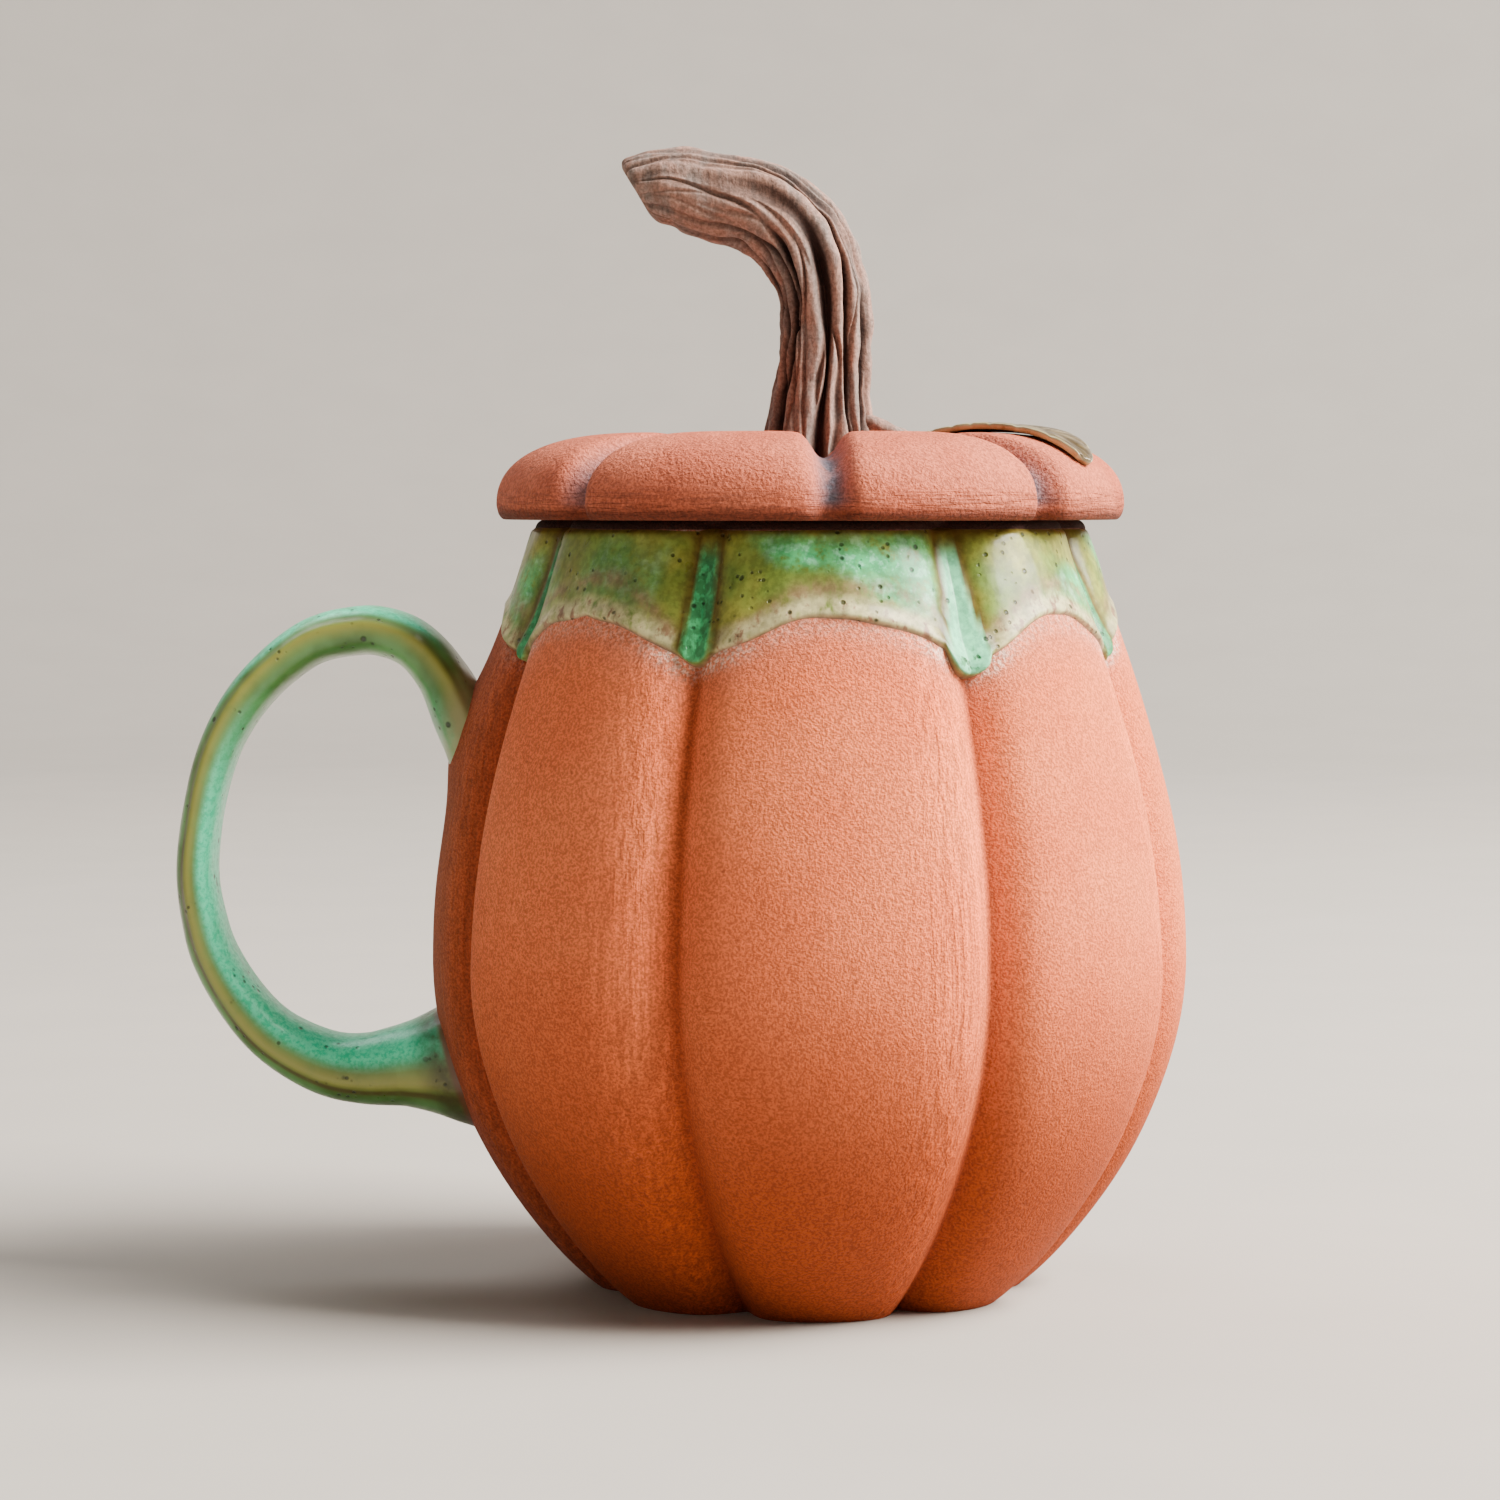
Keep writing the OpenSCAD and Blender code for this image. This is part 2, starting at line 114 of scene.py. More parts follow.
GLAZE_END_CREASE = 0.70
GLAZE_END_LOBE = 0.81
GLAZE_END_ROUND = 0.09
GLAZE_END_WANDER = 0.012
GLAZE_T = 0.45
GLAZE_ROOT = 0.25
GLAZE_SUNK = 0.2
GLAZE_RUN = 0.95
GLAZE_BEAD = 0.35

LID_Z = box_mm("lid_cap")[0][2]
LID_TOP_Z = box_mm("lid_cap")[1][2]
LID_R = 44.2
LID_EDGE = 2.3
LID_UNDERCUT = 1.2
LID_GROOVES = [-47.5, 4, 48, 92, 136, 180, 224, 268]
LID_HOLLOW = 0.7
LID_CREASE = 3.0
LID_CREASE_R = 12
LID_CREASE_W = 2.3
LID_CROWN_R = LID_R - 18.7
LID_SIDE = [
    (LID_R, LID_Z + LID_EDGE), (LID_R, LID_Z + 7.8), (LID_R - 5.7, LID_TOP_Z), (LID_CROWN_R, LID_TOP_Z)
]
LID_TOP = [(LID_CROWN_R, LID_TOP_Z), (22, LID_TOP_Z), (15, LID_TOP_Z - 1.9), (7, LID_TOP_Z - 2.2)]
DOME_W = 26
FLANGE_R = reach_mm("lid_flange")
FLANGE_Z = box_mm("lid_flange")[0][2]
HOLLOW_R = FLANGE_R - 4
HOLLOW_Z = LID_TOP_Z - 7

STRAP_LINE = [
    (-44, 71.5), (-48.6, 79.6), (-51.5, 85.6), (-54.9, 89.8), (-58.9, 91.9), (-63.5, 92.4), (-70.8, 90.4),
    (-78.8, 83.4), (-84, 73.6), (-86.4, 60), (-85.2, 50.5), (-82.8, 44.2), (-78.8, 38.3), (-74.4, 34.3),
    (-68.3, 31.3), (-62.5, 30.4), (-56.5, 30.9), (-50.5, 31.5), (-45, 31.8),
]
STRAP_SIZE = [
    (8.6, 16), (8, 15.6), (7.7, 15.2), (7.4, 14.8), (7.4, 14.4), (7.4, 14), (7.1, 13.6), (6.6, 13.2),
    (6.2, 13), (6, 13), (6.4, 13), (6.9, 13), (7.7, 13.2), (8.5, 13.6), (9.4, 14), (10.4, 14.6),
    (12.2, 15.4), (14.6, 16.4), (16, 17),
]
UPPER_FILLET = 1.3
LOWER_FILLET = 2.8
FILLET_SPAN = 2.5
STRAP_BURIED = 3.0
JOINT_BURIED = STRAP_BURIED + 0.6
JOINT_INSET = 0.8

STEM_LINE = [
    (1.5, 0, 116.2), (1.6, 0, 122.5), (1.9, 0, 128.5), (2.1, 0, 135), (1.4, 0, 141), (-1.6, 0, 147.4),
    (-7, 0, 151.5), (-13.6, 0, 153), (-19.4, 0, 154), (-24.4, 0, 153.8),
]
STEM_SCALE = [1.34, 1.15, 1.04, 1.02, 1.03, 1.05, 1.02, 0.96, 0.88, 0.7]
STEM_R = 6.8
STEM_CUT_LEAN = 0.5
STEM_FOLD_DEPTH = 2.1
STEM_FOLDS = 15
STEM_FINE_FOLDS = 21
STEM_BLUNT = 0.24
FACET_POINT = (-27.0, -1.8, 151.2)
FACET_NORMAL = (-0.75, -0.35, -0.55)

LEAF_LINE = [(13.6, 2.6), (21, -1.6), (29.2, -8), (36.6, -20.4)]
LEAF_W = 8
LEAF_T = 1.2
LEAF_LIFT = 0.1
LEAF_CURL = 0.4
LEAF_RIBS = 9
LEAF_RIB_SLANT = 1.1
LEAF_VEIN_DEPTH = 0.28
STALK_LINE = [(6, -1.5, 122.4), (9.4, -2.2, 121.2), (12.2, -0.6, 119.9), (14, 1.6, 119)]
STALK_R = 1.1


# -------- curves and fields


def mix(a, b, t):
    return a + (b - a) * t


def bell(x, width, power=2):
    """1 at 0, falling away on both sides within about that width. A higher power makes it squarer."""
    return np.exp(-((x / width) ** power))


def smooth(x, low, high):
    """0 below low, 1 above high, and a smooth rise between them."""
    t = np.clip((x - low) / (high - low), 0, 1)
    return t * t * (3 - 2 * t)


def fade(x, low, high):
    """1 below low, 0 above high, and a smooth fall between them."""
    return smooth(-x, -high, -low)


def bezier(points, t):
    p = np.array(points, float)
    t = np.asarray(t, float)[..., None]
    return (1 - t) ** 3 * p[0] + 3 * t * (1 - t) ** 2 * p[1] + 3 * t * t * (1 - t) * p[2] + t**3 * p[3]


def through(points, t):
    """A smooth curve through points, at t from 0 for the first point to len(points) - 1 for the last."""
    p = np.array(points, float)
    if p.ndim == 1:
        p = p[:, None]
    last = len(p) - 1
    t = np.clip(np.asarray(t, float), 0, last)
    i = np.minimum(t.astype(int), last - 1)
    f = (t - i)[..., None]
    a, b, c, d = p[np.maximum(i - 1, 0)], p[i], p[i + 1], p[np.minimum(i + 2, last)]
    return 0.5 * (2 * b + (c - a) * f + (2 * a - 5 * b + 4 * c - d) * f**2 + (3 * b - a - 3 * c + d) * f**3)


def headings(path):
    """The unit direction of a path at each of its points."""
    steps = np.gradient(path, axis=0)
    return steps / np.linalg.norm(steps, axis=-1, keepdims=True)


def all_round(count):
    """Angles all the way round, evenly spaced."""
    return np.arange(count) * 360 / count


def turn_between(a, b=0):
    """The turn between two directions, from 0 to 180 degrees."""
    return np.abs((a - b + 180) % 360 - 180)


def polar(angle, r, z):
    """Points at those angles round the axis, distances from it, and heights."""
    a = np.radians(angle)
    return np.stack(np.broadcast_arrays(r * np.sin(a), -r * np.cos(a), z), axis=-1)


def outward(points):
    """Unit vectors away from the mug's axis, level."""
    flat = points * (1, 1, 0)
    return flat / np.linalg.norm(flat, axis=-1, keepdims=True)


def moved_out(points, distance):
    """The points, each moved level and straight away from the mug's axis."""
    return points + outward(points) * distance[..., None]


def lumps(points, size, seed, waves=28):
    """A smooth random field with lumps of about that size, mostly between -1 and 1."""
    rng = np.random.default_rng(seed)
    field = np.zeros(points.shape[:-1])
    for _ in range(waves):
        direction = rng.normal(size=3)
        turn = math.pi / size * rng.uniform(0.5, 1.5)
        field += np.sin(points @ (direction / np.linalg.norm(direction)) * turn + rng.uniform(0, math.tau))
    return field / math.sqrt(waves)


def waver(t, seed, waves=4):
    """A smooth random curve over t from 0 to 1, mostly between -1 and 1."""
    rng = np.random.default_rng(seed)
    total = np.zeros_like(np.asarray(t, float))
    for k in range(1, waves + 1):
        total += rng.normal() / k * np.sin(k * math.pi * t + rng.uniform(0, math.tau))
    return total


# -------- meshes


def add_object(name, data):
    """A new object in the scene, made from a mesh, a light or a camera."""
    made = bpy.data.objects.new(name, data)
    bpy.context.scene.collection.objects.link(made)
    return made


def grid_faces(rows, cols, wrap_rows):
    """Quads between neighbouring points of a grid whose columns close on themselves."""
    i = np.arange(rows if wrap_rows else rows - 1)[:, None]
    j = np.arange(cols)[None, :]
    below, above = i * cols, (i + 1) % rows * cols
    right = (j + 1) % cols
    corners = np.broadcast_arrays(below + j, below + right, above + right, above + j)
    return np.stack(corners, -1).reshape(-1, 4)


def volume(points, faces):
    """Six times the volume inside closed faces: above 0 when they face outwards."""
    total = 0.0
    for face in faces:
        for k in range(1, face.shape[1] - 1):
            a, b, c = points[face[:, 0]], points[face[:, k]], points[face[:, k + 1]]
            total += np.einsum("ij,ij->", a, np.cross(b, c))
    return total


def grid_mesh(name, rings, masks, material, body, slot, *nodes, wrap_rows=False):
    """A closed smooth piece through rings of points, which replaces CAD nodes.

    It is capped at both ends, or joined end to end. masks gives each point numbers for the material, by name.
    """
    rows, cols = rings.shape[:2]
    points = rings.reshape(-1, 3)
    faces = [grid_faces(rows, cols, wrap_rows)]
    values = {key: np.broadcast_to(mask, (rows, cols)).reshape(-1) for key, mask in masks.items()}
    if not wrap_rows:
        points = np.vstack([points, rings[0].mean(0), rings[-1].mean(0)])
        values = {key: np.append(v, (v[:cols].mean(), v[-cols:].mean())) for key, v in values.items()}
        here, after = np.arange(cols), (np.arange(cols) + 1) % cols
        top = (rows - 1) * cols
        faces.append(np.stack([np.full(cols, rows * cols), after, here], -1))
        faces.append(np.stack([np.full(cols, rows * cols + 1), top + here, top + after], -1))
    if volume(points, faces) < 0:
        faces = [face[:, ::-1] for face in faces]
    mesh = bpy.data.meshes.new(name)
    mesh.from_pydata((points * MM).tolist(), [], [f for face in faces for f in face.tolist()])
    mesh.shade_smooth()
    for key, value in values.items():
        mesh.attributes.new(key, "FLOAT", "POINT").data.foreach_set("value", value.astype(np.float32))
    mesh.materials.append(material)
    piece = add_object(name, mesh)
    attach(piece, body)
    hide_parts(*nodes)


def turned(profile, sides=192):
    """Rings of a turned shape from its [radius, height] profile."""
    profile = np.array(profile, float)
    return polar(all_round(sides)[None, :], profile[:, :1], profile[:, 1:])


def filled(profile, step):
    """A profile with extra points, no two further apart than step."""
    points = [profile[0]]
    for a, b in zip(profile[:-1], profile[1:]):
        count = max(1, math.ceil(math.dist(a, b) / step))
        points += [tuple(mix(np.array(a, float), np.array(b, float), k / count)) for k in range(1, count + 1)]
    return np.array(points, float)


# -------- lobes


class Columns:
    """The mug's or the lid's columns of points, closer together near the grooves.

    For each column, crest is 0 in a groove and 1 on a lobe's crest, half is half its lobe's width in degrees,
    before is 1 where the nearest groove is the one after the lobe, and groove is that groove's number.
    """

    def __init__(self, grooves, steps):
        ends = grooves[1:] + [grooves[0] + 360]
        spread = 0.5 - 0.5 * np.cos(np.pi * np.arange(steps) / steps)
        self.angle = np.concatenate([mix(a, b, spread) for a, b in zip(grooves, ends)])
        self.crest = np.tile(1 - np.abs(2 * spread - 1), len(grooves))
        self.half = np.repeat([(b - a) / 2 for a, b in zip(grooves, ends)], steps)
        self.before = np.tile((spread > 0.5).astype(float), len(grooves))
        self.lobe = np.repeat(np.arange(len(grooves)), steps)
        self.groove = (self.lobe + self.before.astype(int)) % len(grooves)

    def from_groove(self, r):
        """Distance along the surface from the nearest groove."""
        return self.crest * np.radians(self.half) * r


def lobe_depth(cols, r, z):
    """How far the body's surface lies inside its outline: a shallow hollow, and a crease in its middle.

    Both change towards the foot, by their LOW values, and towards the rim, by their HIGH values.
    """
    high = np.clip((z - BELLY_Z) / (RIM_Z - BELLY_Z), 0, None)
    low = np.clip(1 - z / BELLY_Z, 0, None)
    hollow = BODY_HOLLOW + BODY_HOLLOW_LOW * low + BODY_HOLLOW_HIGH * high
    crease = BODY_CREASE + BODY_CREASE_LOW * low + BODY_CREASE_HIGH * high
    return hollow * (1 - cols.crest) ** 2 + crease * bell(cols.from_groove(r), BODY_CREASE_W, 1.7)


def pressed(angle, z):
    """How much fuller the handle's lobe is, below the upper joint."""
    away = turn_between(angle, HANDLE_ANGLE)
    return PRESS_DEPTH * bell(away, PRESS_ANGLE) * bell(z - PRESS_Z, PRESS_HEIGHT)


def body_skin(outline, cols, grow=0.0):
    """The mug's lobed surface over an outline of [radius, height], moved out by grow.

    No crease cuts deeper than the clay that is left round the mouth.
    """
    r, z = outline[..., 0], outline[..., 1]
    least = np.where(z > BELLY_Z, MOUTH_R + RIM_CLAY, 0)
    skin = np.maximum(r - lobe_depth(cols, r, z), least)
    return polar(cols.angle, skin + pressed(cols.angle, z) + grow, z)


def glaze_end(cols):
    """Where along the shoulder curve the glaze ends: low and round in a crease, arched over a lobe."""
    rounded = np.sqrt(cols.crest**2 + GLAZE_END_ROUND**2) - GLAZE_END_ROUND
    arch = np.sin(math.pi / 2 * rounded) ** 0.8
    wander = lumps(polar(cols.angle, BELLY_R, 0), 9, 11) * GLAZE_END_WANDER * np.sin(math.pi * cols.crest)
    deeper = GLAZE_END_WANDER * np.sin(cols.lobe * 2.3) * (1 - cols.crest) ** 3
    return mix(GLAZE_END_CREASE, GLAZE_END_LOBE, arch) + wander + deeper


# -------- materials


def srgb(r, g, b):
    """A colour given in sRGB from 0 to 255, as the linear RGBA that nodes take."""
    linear = [((c / 255 + 0.055) / 1.055) ** 2.4 if c > 10 else c / 255 / 12.92 for c in (r, g, b)]
    return (*linear, 1.0)


class Look:
    """A node material. The methods that add nodes give back the last one's output."""

    def __init__(self, name, **shader):
        self.material = bpy.data.materials.new(name)
        self.material.use_nodes = True
        self.tree = self.material.node_tree
        self.shader = self.tree.nodes["Principled BSDF"]
        self.set(**shader)

    def set(self, **inputs):
        """Sets or links inputs of the shader, such as base_color."""
        for key, value in inputs.items():
            self.feed(self.shader.inputs[key.replace("_", " ").title().replace("Ior", "IOR")], value)

    def feed(self, socket, value):
        if isinstance(value, bpy.types.NodeSocket):
            self.tree.links.new(value, socket)
        else:
            socket.default_value = value

    def node(self, kind, inputs, **settings):
        node = self.tree.nodes.new(kind)
        for key, value in settings.items():
            setattr(node, key, value)
        for key, value in inputs.items():
            self.feed(node.inputs[key], value)
        return node

    def place(self, stretch=(1, 1, 1), shift=0.0):
        """Object coordinates in millimetres, so that a texture's scale is one over its grain's size."""
        coordinate = self.node("ShaderNodeTexCoord", {}).outputs["Object"]
        scale = tuple(1 / (MM * s) for s in stretch)
        inputs = {"Vector": coordinate, "Scale": scale, "Location": (shift,) * 3}
        return self.node("ShaderNodeMapping", inputs).outputs[0]

    def noise(self, size, detail=3.0, roughness=0.55, stretch=(1, 1, 1), shift=0.0):
        place = self.place(stretch, shift)
        inputs = {"Vector": place, "Scale": 1 / size, "Detail": detail, "Roughness": roughness}
        return self.node("ShaderNodeTexNoise", inputs).outputs[0]

    def dots(self, size, keep, width, shift=0.0):
        """Round dots, 1 in the middle: one in each cell of that size that is kept."""
        inputs = {"Vector": self.place(shift=shift), "Scale": 1 / size}
        cells = self.node("ShaderNodeTexVoronoi", inputs)
        chosen = self.step(self.channel(cells.outputs["Color"]), 1 - keep - 0.02, 1 - keep + 0.02)
        return self.times(chosen, self.step(cells.outputs["Distance"], width, width * 0.45))

    def channel(self, colour):
        return self.node("ShaderNodeSeparateColor", {"Color": colour}).outputs[0]

    def mask(self, name):
        return self.node("ShaderNodeAttribute", {}, attribute_name=name).outputs["Fac"]

    def masked(self, name, value):
        return self.times(self.mask(name), value)

    def step(self, value, low, high, bottom=0.0, top=1.0):
        """bottom where value is at low, top where it is at high, and smooth between."""
        inputs = {"Value": value, "From Min": low, "From Max": high, "To Min": bottom, "To Max": top}
        return self.node("ShaderNodeMapRange", inputs, interpolation_type="SMOOTHSTEP").outputs[0]

    def patches(self, size, low, high, detail=3.0, bottom=0.0, top=1.0, **noise):
        """Noise with patches of about that size, made bottom below low and top above high."""
        return self.step(self.noise(size, detail, **noise), low, high, bottom, top)

    def math(self, operation, a, b=0.0):
        return self.node("ShaderNodeMath", {0: a, 1: b}, operation=operation, use_clamp=True).outputs[0]

    def times(self, a, b):
        return self.math("MULTIPLY", a, b)

    def plus(self, a, b):
        return self.math("ADD", a, b)

    def blend(self, factor, a, b, how="MIX"):
        node = self.node("ShaderNodeMix", {}, data_type="RGBA", blend_type=how)
        self.feed(node.inputs[0], factor)
        self.feed(node.inputs[6], a)
        self.feed(node.inputs[7], b)
        return node.outputs[2]

    def shade(self, colour, value, low, high):
        """colour made darker or lighter: times low where value is 0, times high where it is 1."""
        level = self.step(value, 0.0, 1.0, low, high)
        grey = self.node("ShaderNodeCombineColor", {"Red": level, "Green": level, "Blue": level}).outputs[0]
        return self.blend(1.0, colour, grey, "MULTIPLY")

    def bump(self, height, depth, strength=1.0, under=None):
        """A bump depth millimetres deep, over another one if given."""
        inputs = {"Height": height, "Distance": depth * MM, "Strength": strength}
        if under is not None:
            inputs["Normal"] = under
        return self.node("ShaderNodeBump", inputs).outputs[0]


CLAY = srgb(207, 100, 57)
CLAY_PALE = srgb(215, 110, 65)
CLAY_DEEP_SHADED = srgb(144, 57, 12)
CLAY_CREASE_SHADE = srgb(136, 50, 16)
CLAY_BURNT_SHADED = srgb(132, 62, 38)
CLAY_FLASH = srgb(200, 112, 84)
CLAY_CRYSTAL = srgb(232, 208, 190)
CLAY_RIM_SHADED = srgb(40, 16, 9)
LID_CLAY = srgb(173, 85, 58)
LID_PALE = srgb(185, 97, 69)
LID_WASH = srgb(86, 92, 104)
LID_EDGE_SHADE = srgb(84, 34, 18)


def sandy(look, colour, grain=0.36, contrast=0.25):
    """Gives the look the colour, broken up by sand, and the sand's bump, which is returned."""
    fine = look.noise(grain, 2.0, 0.6)
    coarse = look.noise(grain * 3.2, 2.0, 0.5, shift=40.0)
    colour = look.shade(colour, look.step(fine, 0.36, 0.64), 1 - contrast, 1 + contrast * 0.8)
    colour = look.shade(colour, look.step(coarse, 0.3, 0.7), 1 - contrast * 0.2, 1 + contrast * 0.2)
    dark_grog = look.dots(2.2, 0.35, 0.16, shift=11.0)
    colour = look.shade(colour, dark_grog, 1.0, 0.72)
    look.set(base_color=colour)
    return look.bump(fine, 0.34, 0.9, look.bump(coarse, 0.14, 0.5))


def body_clay():
    """Bare red stoneware: sandy, deeper orange towards the foot, flashed pink under the glaze, with painted
    shade and a painted highlight.
    """
    look = Look("red_clay", roughness=0.86, specular_ior_level=0.25)
    colour = look.blend(look.patches(18, 0.3, 0.7), CLAY, CLAY_PALE)
    # Darker, deeper orange towards the foot: partly the clay's own tone, partly painted shade.
    colour = look.blend(look.mask("low"), colour, CLAY_DEEP_SHADED)
    flash = look.masked("flash", look.patches(5, 0.2, 0.7, bottom=0.4, shift=7.0))
    colour = look.blend(flash, colour, CLAY_FLASH)
    crystals = look.masked("crystal", look.patches(0.5, 0.42, 0.62, 2.0, 0.15, 0.8, shift=33.0))
    colour = look.blend(crystals, colour, CLAY_CRYSTAL)
    # The handle's lobe darker: partly a burnt tone of the clay, partly painted shade.
    colour = look.blend(look.mask("burnt_and_shade"), colour, CLAY_BURNT_SHADED)
    # Painted shade in the creases, over the clay's deeper tone there.
    colour = look.blend(look.masked("crease", 0.7), colour, CLAY_CREASE_SHADE)
    # The rim nearly black: a brown stain on the bare clay, darkened by painted shade under the lid.
    colour = look.blend(look.mask("rim"), colour, CLAY_RIM_SHADED)
    # Scraped streaks beside each groove, lightened as a painted highlight on that flank.
    streaks = look.noise(1.0, 3.0, 0.6, stretch=(1, 1, 24))
    scrape_and_highlight = look.masked("scrape_and_highlight", look.step(streaks, 0.3, 0.7))
    colour = look.shade(colour, scrape_and_highlight, 1.0, 1.36)
    normal = sandy(look, colour)
    look.set(normal=look.bump(scrape_and_highlight, 0.22, 0.8, normal))
    return look.material


def lid_clay():
    """The lid's bare clay: pinker, with a slate wash in the grooves, turning lines round its edge and painted
    shade along its lower edge.
    """
    look = Look("lid_clay", roughness=0.84, specular_ior_level=0.25)
    colour = look.blend(look.patches(14, 0.35, 0.65, 2.0), LID_CLAY, LID_PALE)
    lines = look.noise(0.5, 3.0, 0.6, stretch=(14, 14, 1))
    turning = look.masked("turning", look.step(lines, 0.4, 0.65))
    colour = look.shade(colour, turning, 1.0, 0.74)
    wash = look.masked("wash", look.patches(2.4, 0.15, 0.6, bottom=0.45, shift=3.0))
    colour = look.blend(wash, colour, LID_WASH)
    # Painted shade along the lid's lower edge.
    colour = look.blend(look.mask("edge"), colour, LID_EDGE_SHADE)
    pebbles = look.noise(1.1, 2.0, 0.5, shift=51.0)
    normal = look.bump(pebbles, 0.4, 0.6, sandy(look, colour, grain=0.4, contrast=0.24))
    look.set(normal=look.bump(turning, 0.22, 0.8, normal))
    return look.material


OLIVE = srgb(138, 140, 58)
MOSS = srgb(102, 126, 50)
TURQUOISE = srgb(72, 196, 124)
JADE = srgb(56, 130, 80)
MINT = srgb(130, 226, 176)
CREAM = srgb(188, 180, 132)
LILAC = srgb(140, 108, 84)
UMBER = srgb(88, 66, 26)
PIT = srgb(28, 38, 16)


def pitted(look, colour, bump_depth, cell=2.4, keep=0.4):
    """Gives a glaze its clusters of pinholes: dark dots with a soft dent. Returns the normal."""
    small = look.times(look.dots(1.3, 0.6, 0.28, shift=23.0), look.patches(7, 0.48, 0.58, 2.0, shift=61.0))
    pits = look.plus(look.dots(cell, keep, 0.19, shift=5.0), look.times(small, 0.85))
    colour = look.blend(look.times(pits, 0.85), colour, PIT)
    look.set(base_color=colour)
    waves = look.noise(4.5, 2.0, 0.4, shift=2.0)
    orange_peel = look.noise(1.1, 2.0, 0.5, shift=9.0)
    normal = look.bump(waves, 0.6, 0.5, look.bump(orange_peel, 0.06, 0.5))
    return look.bump(look.math("SUBTRACT", 1.0, pits), bump_depth, 0.8, normal)


def collar_glaze():
    """Olive glaze: turquoise in its pools and drips, cream and lilac along its lower edge."""
    look = Look("green_glaze", coat_weight=0.12, coat_roughness=0.12, specular_ior_level=0.2)
    colour = look.blend(look.patches(9, 0.35, 0.65), OLIVE, MOSS)
    mottle = look.noise(2.2, 4.0, 0.65, shift=13.0)
    pool = look.masked("pool", look.step(mottle, 0.25, 0.5))
    colour = look.blend(pool, colour, look.blend(look.step(mottle, 0.5, 0.62), TURQUOISE, MINT))
    streaks = look.noise(2.0, 4.0, 0.65, stretch=(1, 1, 2.2), shift=31.0)
    broken = look.masked("break", look.step(streaks, 0.3, 0.6, 0.2, 0.75))
    colour = look.blend(broken, colour, LILAC)
    fringe = look.masked("fringe", look.step(streaks, 0.25, 0.5))
    colour = look.blend(fringe, colour, look.blend(look.step(streaks, 0.52, 0.64), CREAM, LILAC))
    colour = look.blend(look.masked("outline", 0.9), colour, UMBER)
    drip = look.blend(look.mask("pale"), JADE, MINT)
    speckle = look.noise(0.9, 3.0, 0.6, stretch=(1, 1, 1.6), shift=3.0)
    light = look.times(look.step(speckle, 0.46, 0.6), 0.6)
    drip = look.blend(light, drip, look.blend(look.mask("pale"), TURQUOISE, MINT))
    dark = look.masked("pool_end", look.step(speckle, 0.5, 0.6))
    drip = look.blend(dark, drip, JADE)
    colour = look.blend(look.mask("drip"), colour, drip)
    colour = look.blend(look.mask("edge"), colour, LILAC)
    colour = look.blend(look.mask("top"), colour, UMBER)
    grain = look.patches(1.0, 0.32, 0.68, roughness=0.6, shift=43.0)
    colour = look.shade(colour, grain, 0.78, 1.1)
    clouds = look.patches(4.5, 0.35, 0.65, roughness=0.6, stretch=(1, 1, 2), shift=47.0)
    colour = look.shade(colour, clouds, 0.8, 1.08)
    look.set(roughness=look.patches(4, 0.2, 0.8, 2.0, 0.26, 0.48, shift=17.0))
    look.set(normal=pitted(look, colour, 0.3))
    return look.material


HANDLE_GREEN = srgb(92, 148, 80)
HANDLE_DEEP = srgb(66, 108, 44)
HANDLE_GOLD = srgb(148, 152, 70)
HANDLE_LINE = srgb(76, 60, 18)
HANDLE_MINT = srgb(92, 248, 196)
HANDLE_TURQUOISE = srgb(24, 222, 164)
HANDLE_SEAM = srgb(96, 60, 34)
HANDLE_END_SHADED = srgb(56, 54, 16)
HANDLE_TOP_END_LIT = srgb(150, 150, 104)


def handle_glaze():
    """The strap's glaze: thin and golden along its edges, green outside, speckled turquoise inside, with
    painted light on its top and ends and painted shade at its lower end.
    """
    look = Look("handle_glaze", coat_weight=0.3, coat_roughness=0.24, specular_ior_level=0.4)
    flow = look.noise(3.2, 4.0, 0.62, shift=19.0)
    colour = look.blend(look.patches(8, 0.35, 0.65, shift=4.0), HANDLE_GREEN, HANDLE_DEEP)
    speckle = look.noise(0.8, 3.0, 0.7, shift=27.0)
    bright = look.blend(look.step(speckle, 0.36, 0.6), HANDLE_TURQUOISE, HANDLE_MINT)
    # A painted highlight, in the glaze's mint, along the top of the strap's outer face.
    colour = look.blend(look.masked("top_highlight", look.step(flow, 0.3, 0.6, 0.4, 1.0)), colour, bright)
    gold = look.masked("gold", look.step(flow, 0.15, 0.55, 0.6, 1.0))
    colour = look.blend(gold, colour, HANDLE_GOLD)
    colour = look.blend(look.masked("inner", look.step(flow, 0.2, 0.5, 0.7, 1.0)), colour, bright)
    line = look.masked("line", look.step(flow, 0.2, 0.55, 0.6, 1.0))
    colour = look.blend(line, colour, HANDLE_LINE)
    # The strap's olive-brown ends: painted shade at the lower joint, painted light at the upper one.
    end = look.blend(look.mask("high"), HANDLE_END_SHADED, HANDLE_TOP_END_LIT)
    colour = look.blend(look.masked("end", look.step(flow, 0.2, 0.6, 0.5, 1.0)), colour, end)
    colour = look.blend(look.mask("seam"), colour, HANDLE_SEAM)
    look.set(roughness=look.step(flow, 0.2, 0.8, 0.26, 0.46))
    look.set(normal=pitted(look, colour, 0.2, cell=3.0, keep=0.2))
    return look.material


LINER = srgb(206, 208, 178)
LINER_GREEN = srgb(150, 178, 138)
LINER_SPECK = srgb(120, 84, 48)


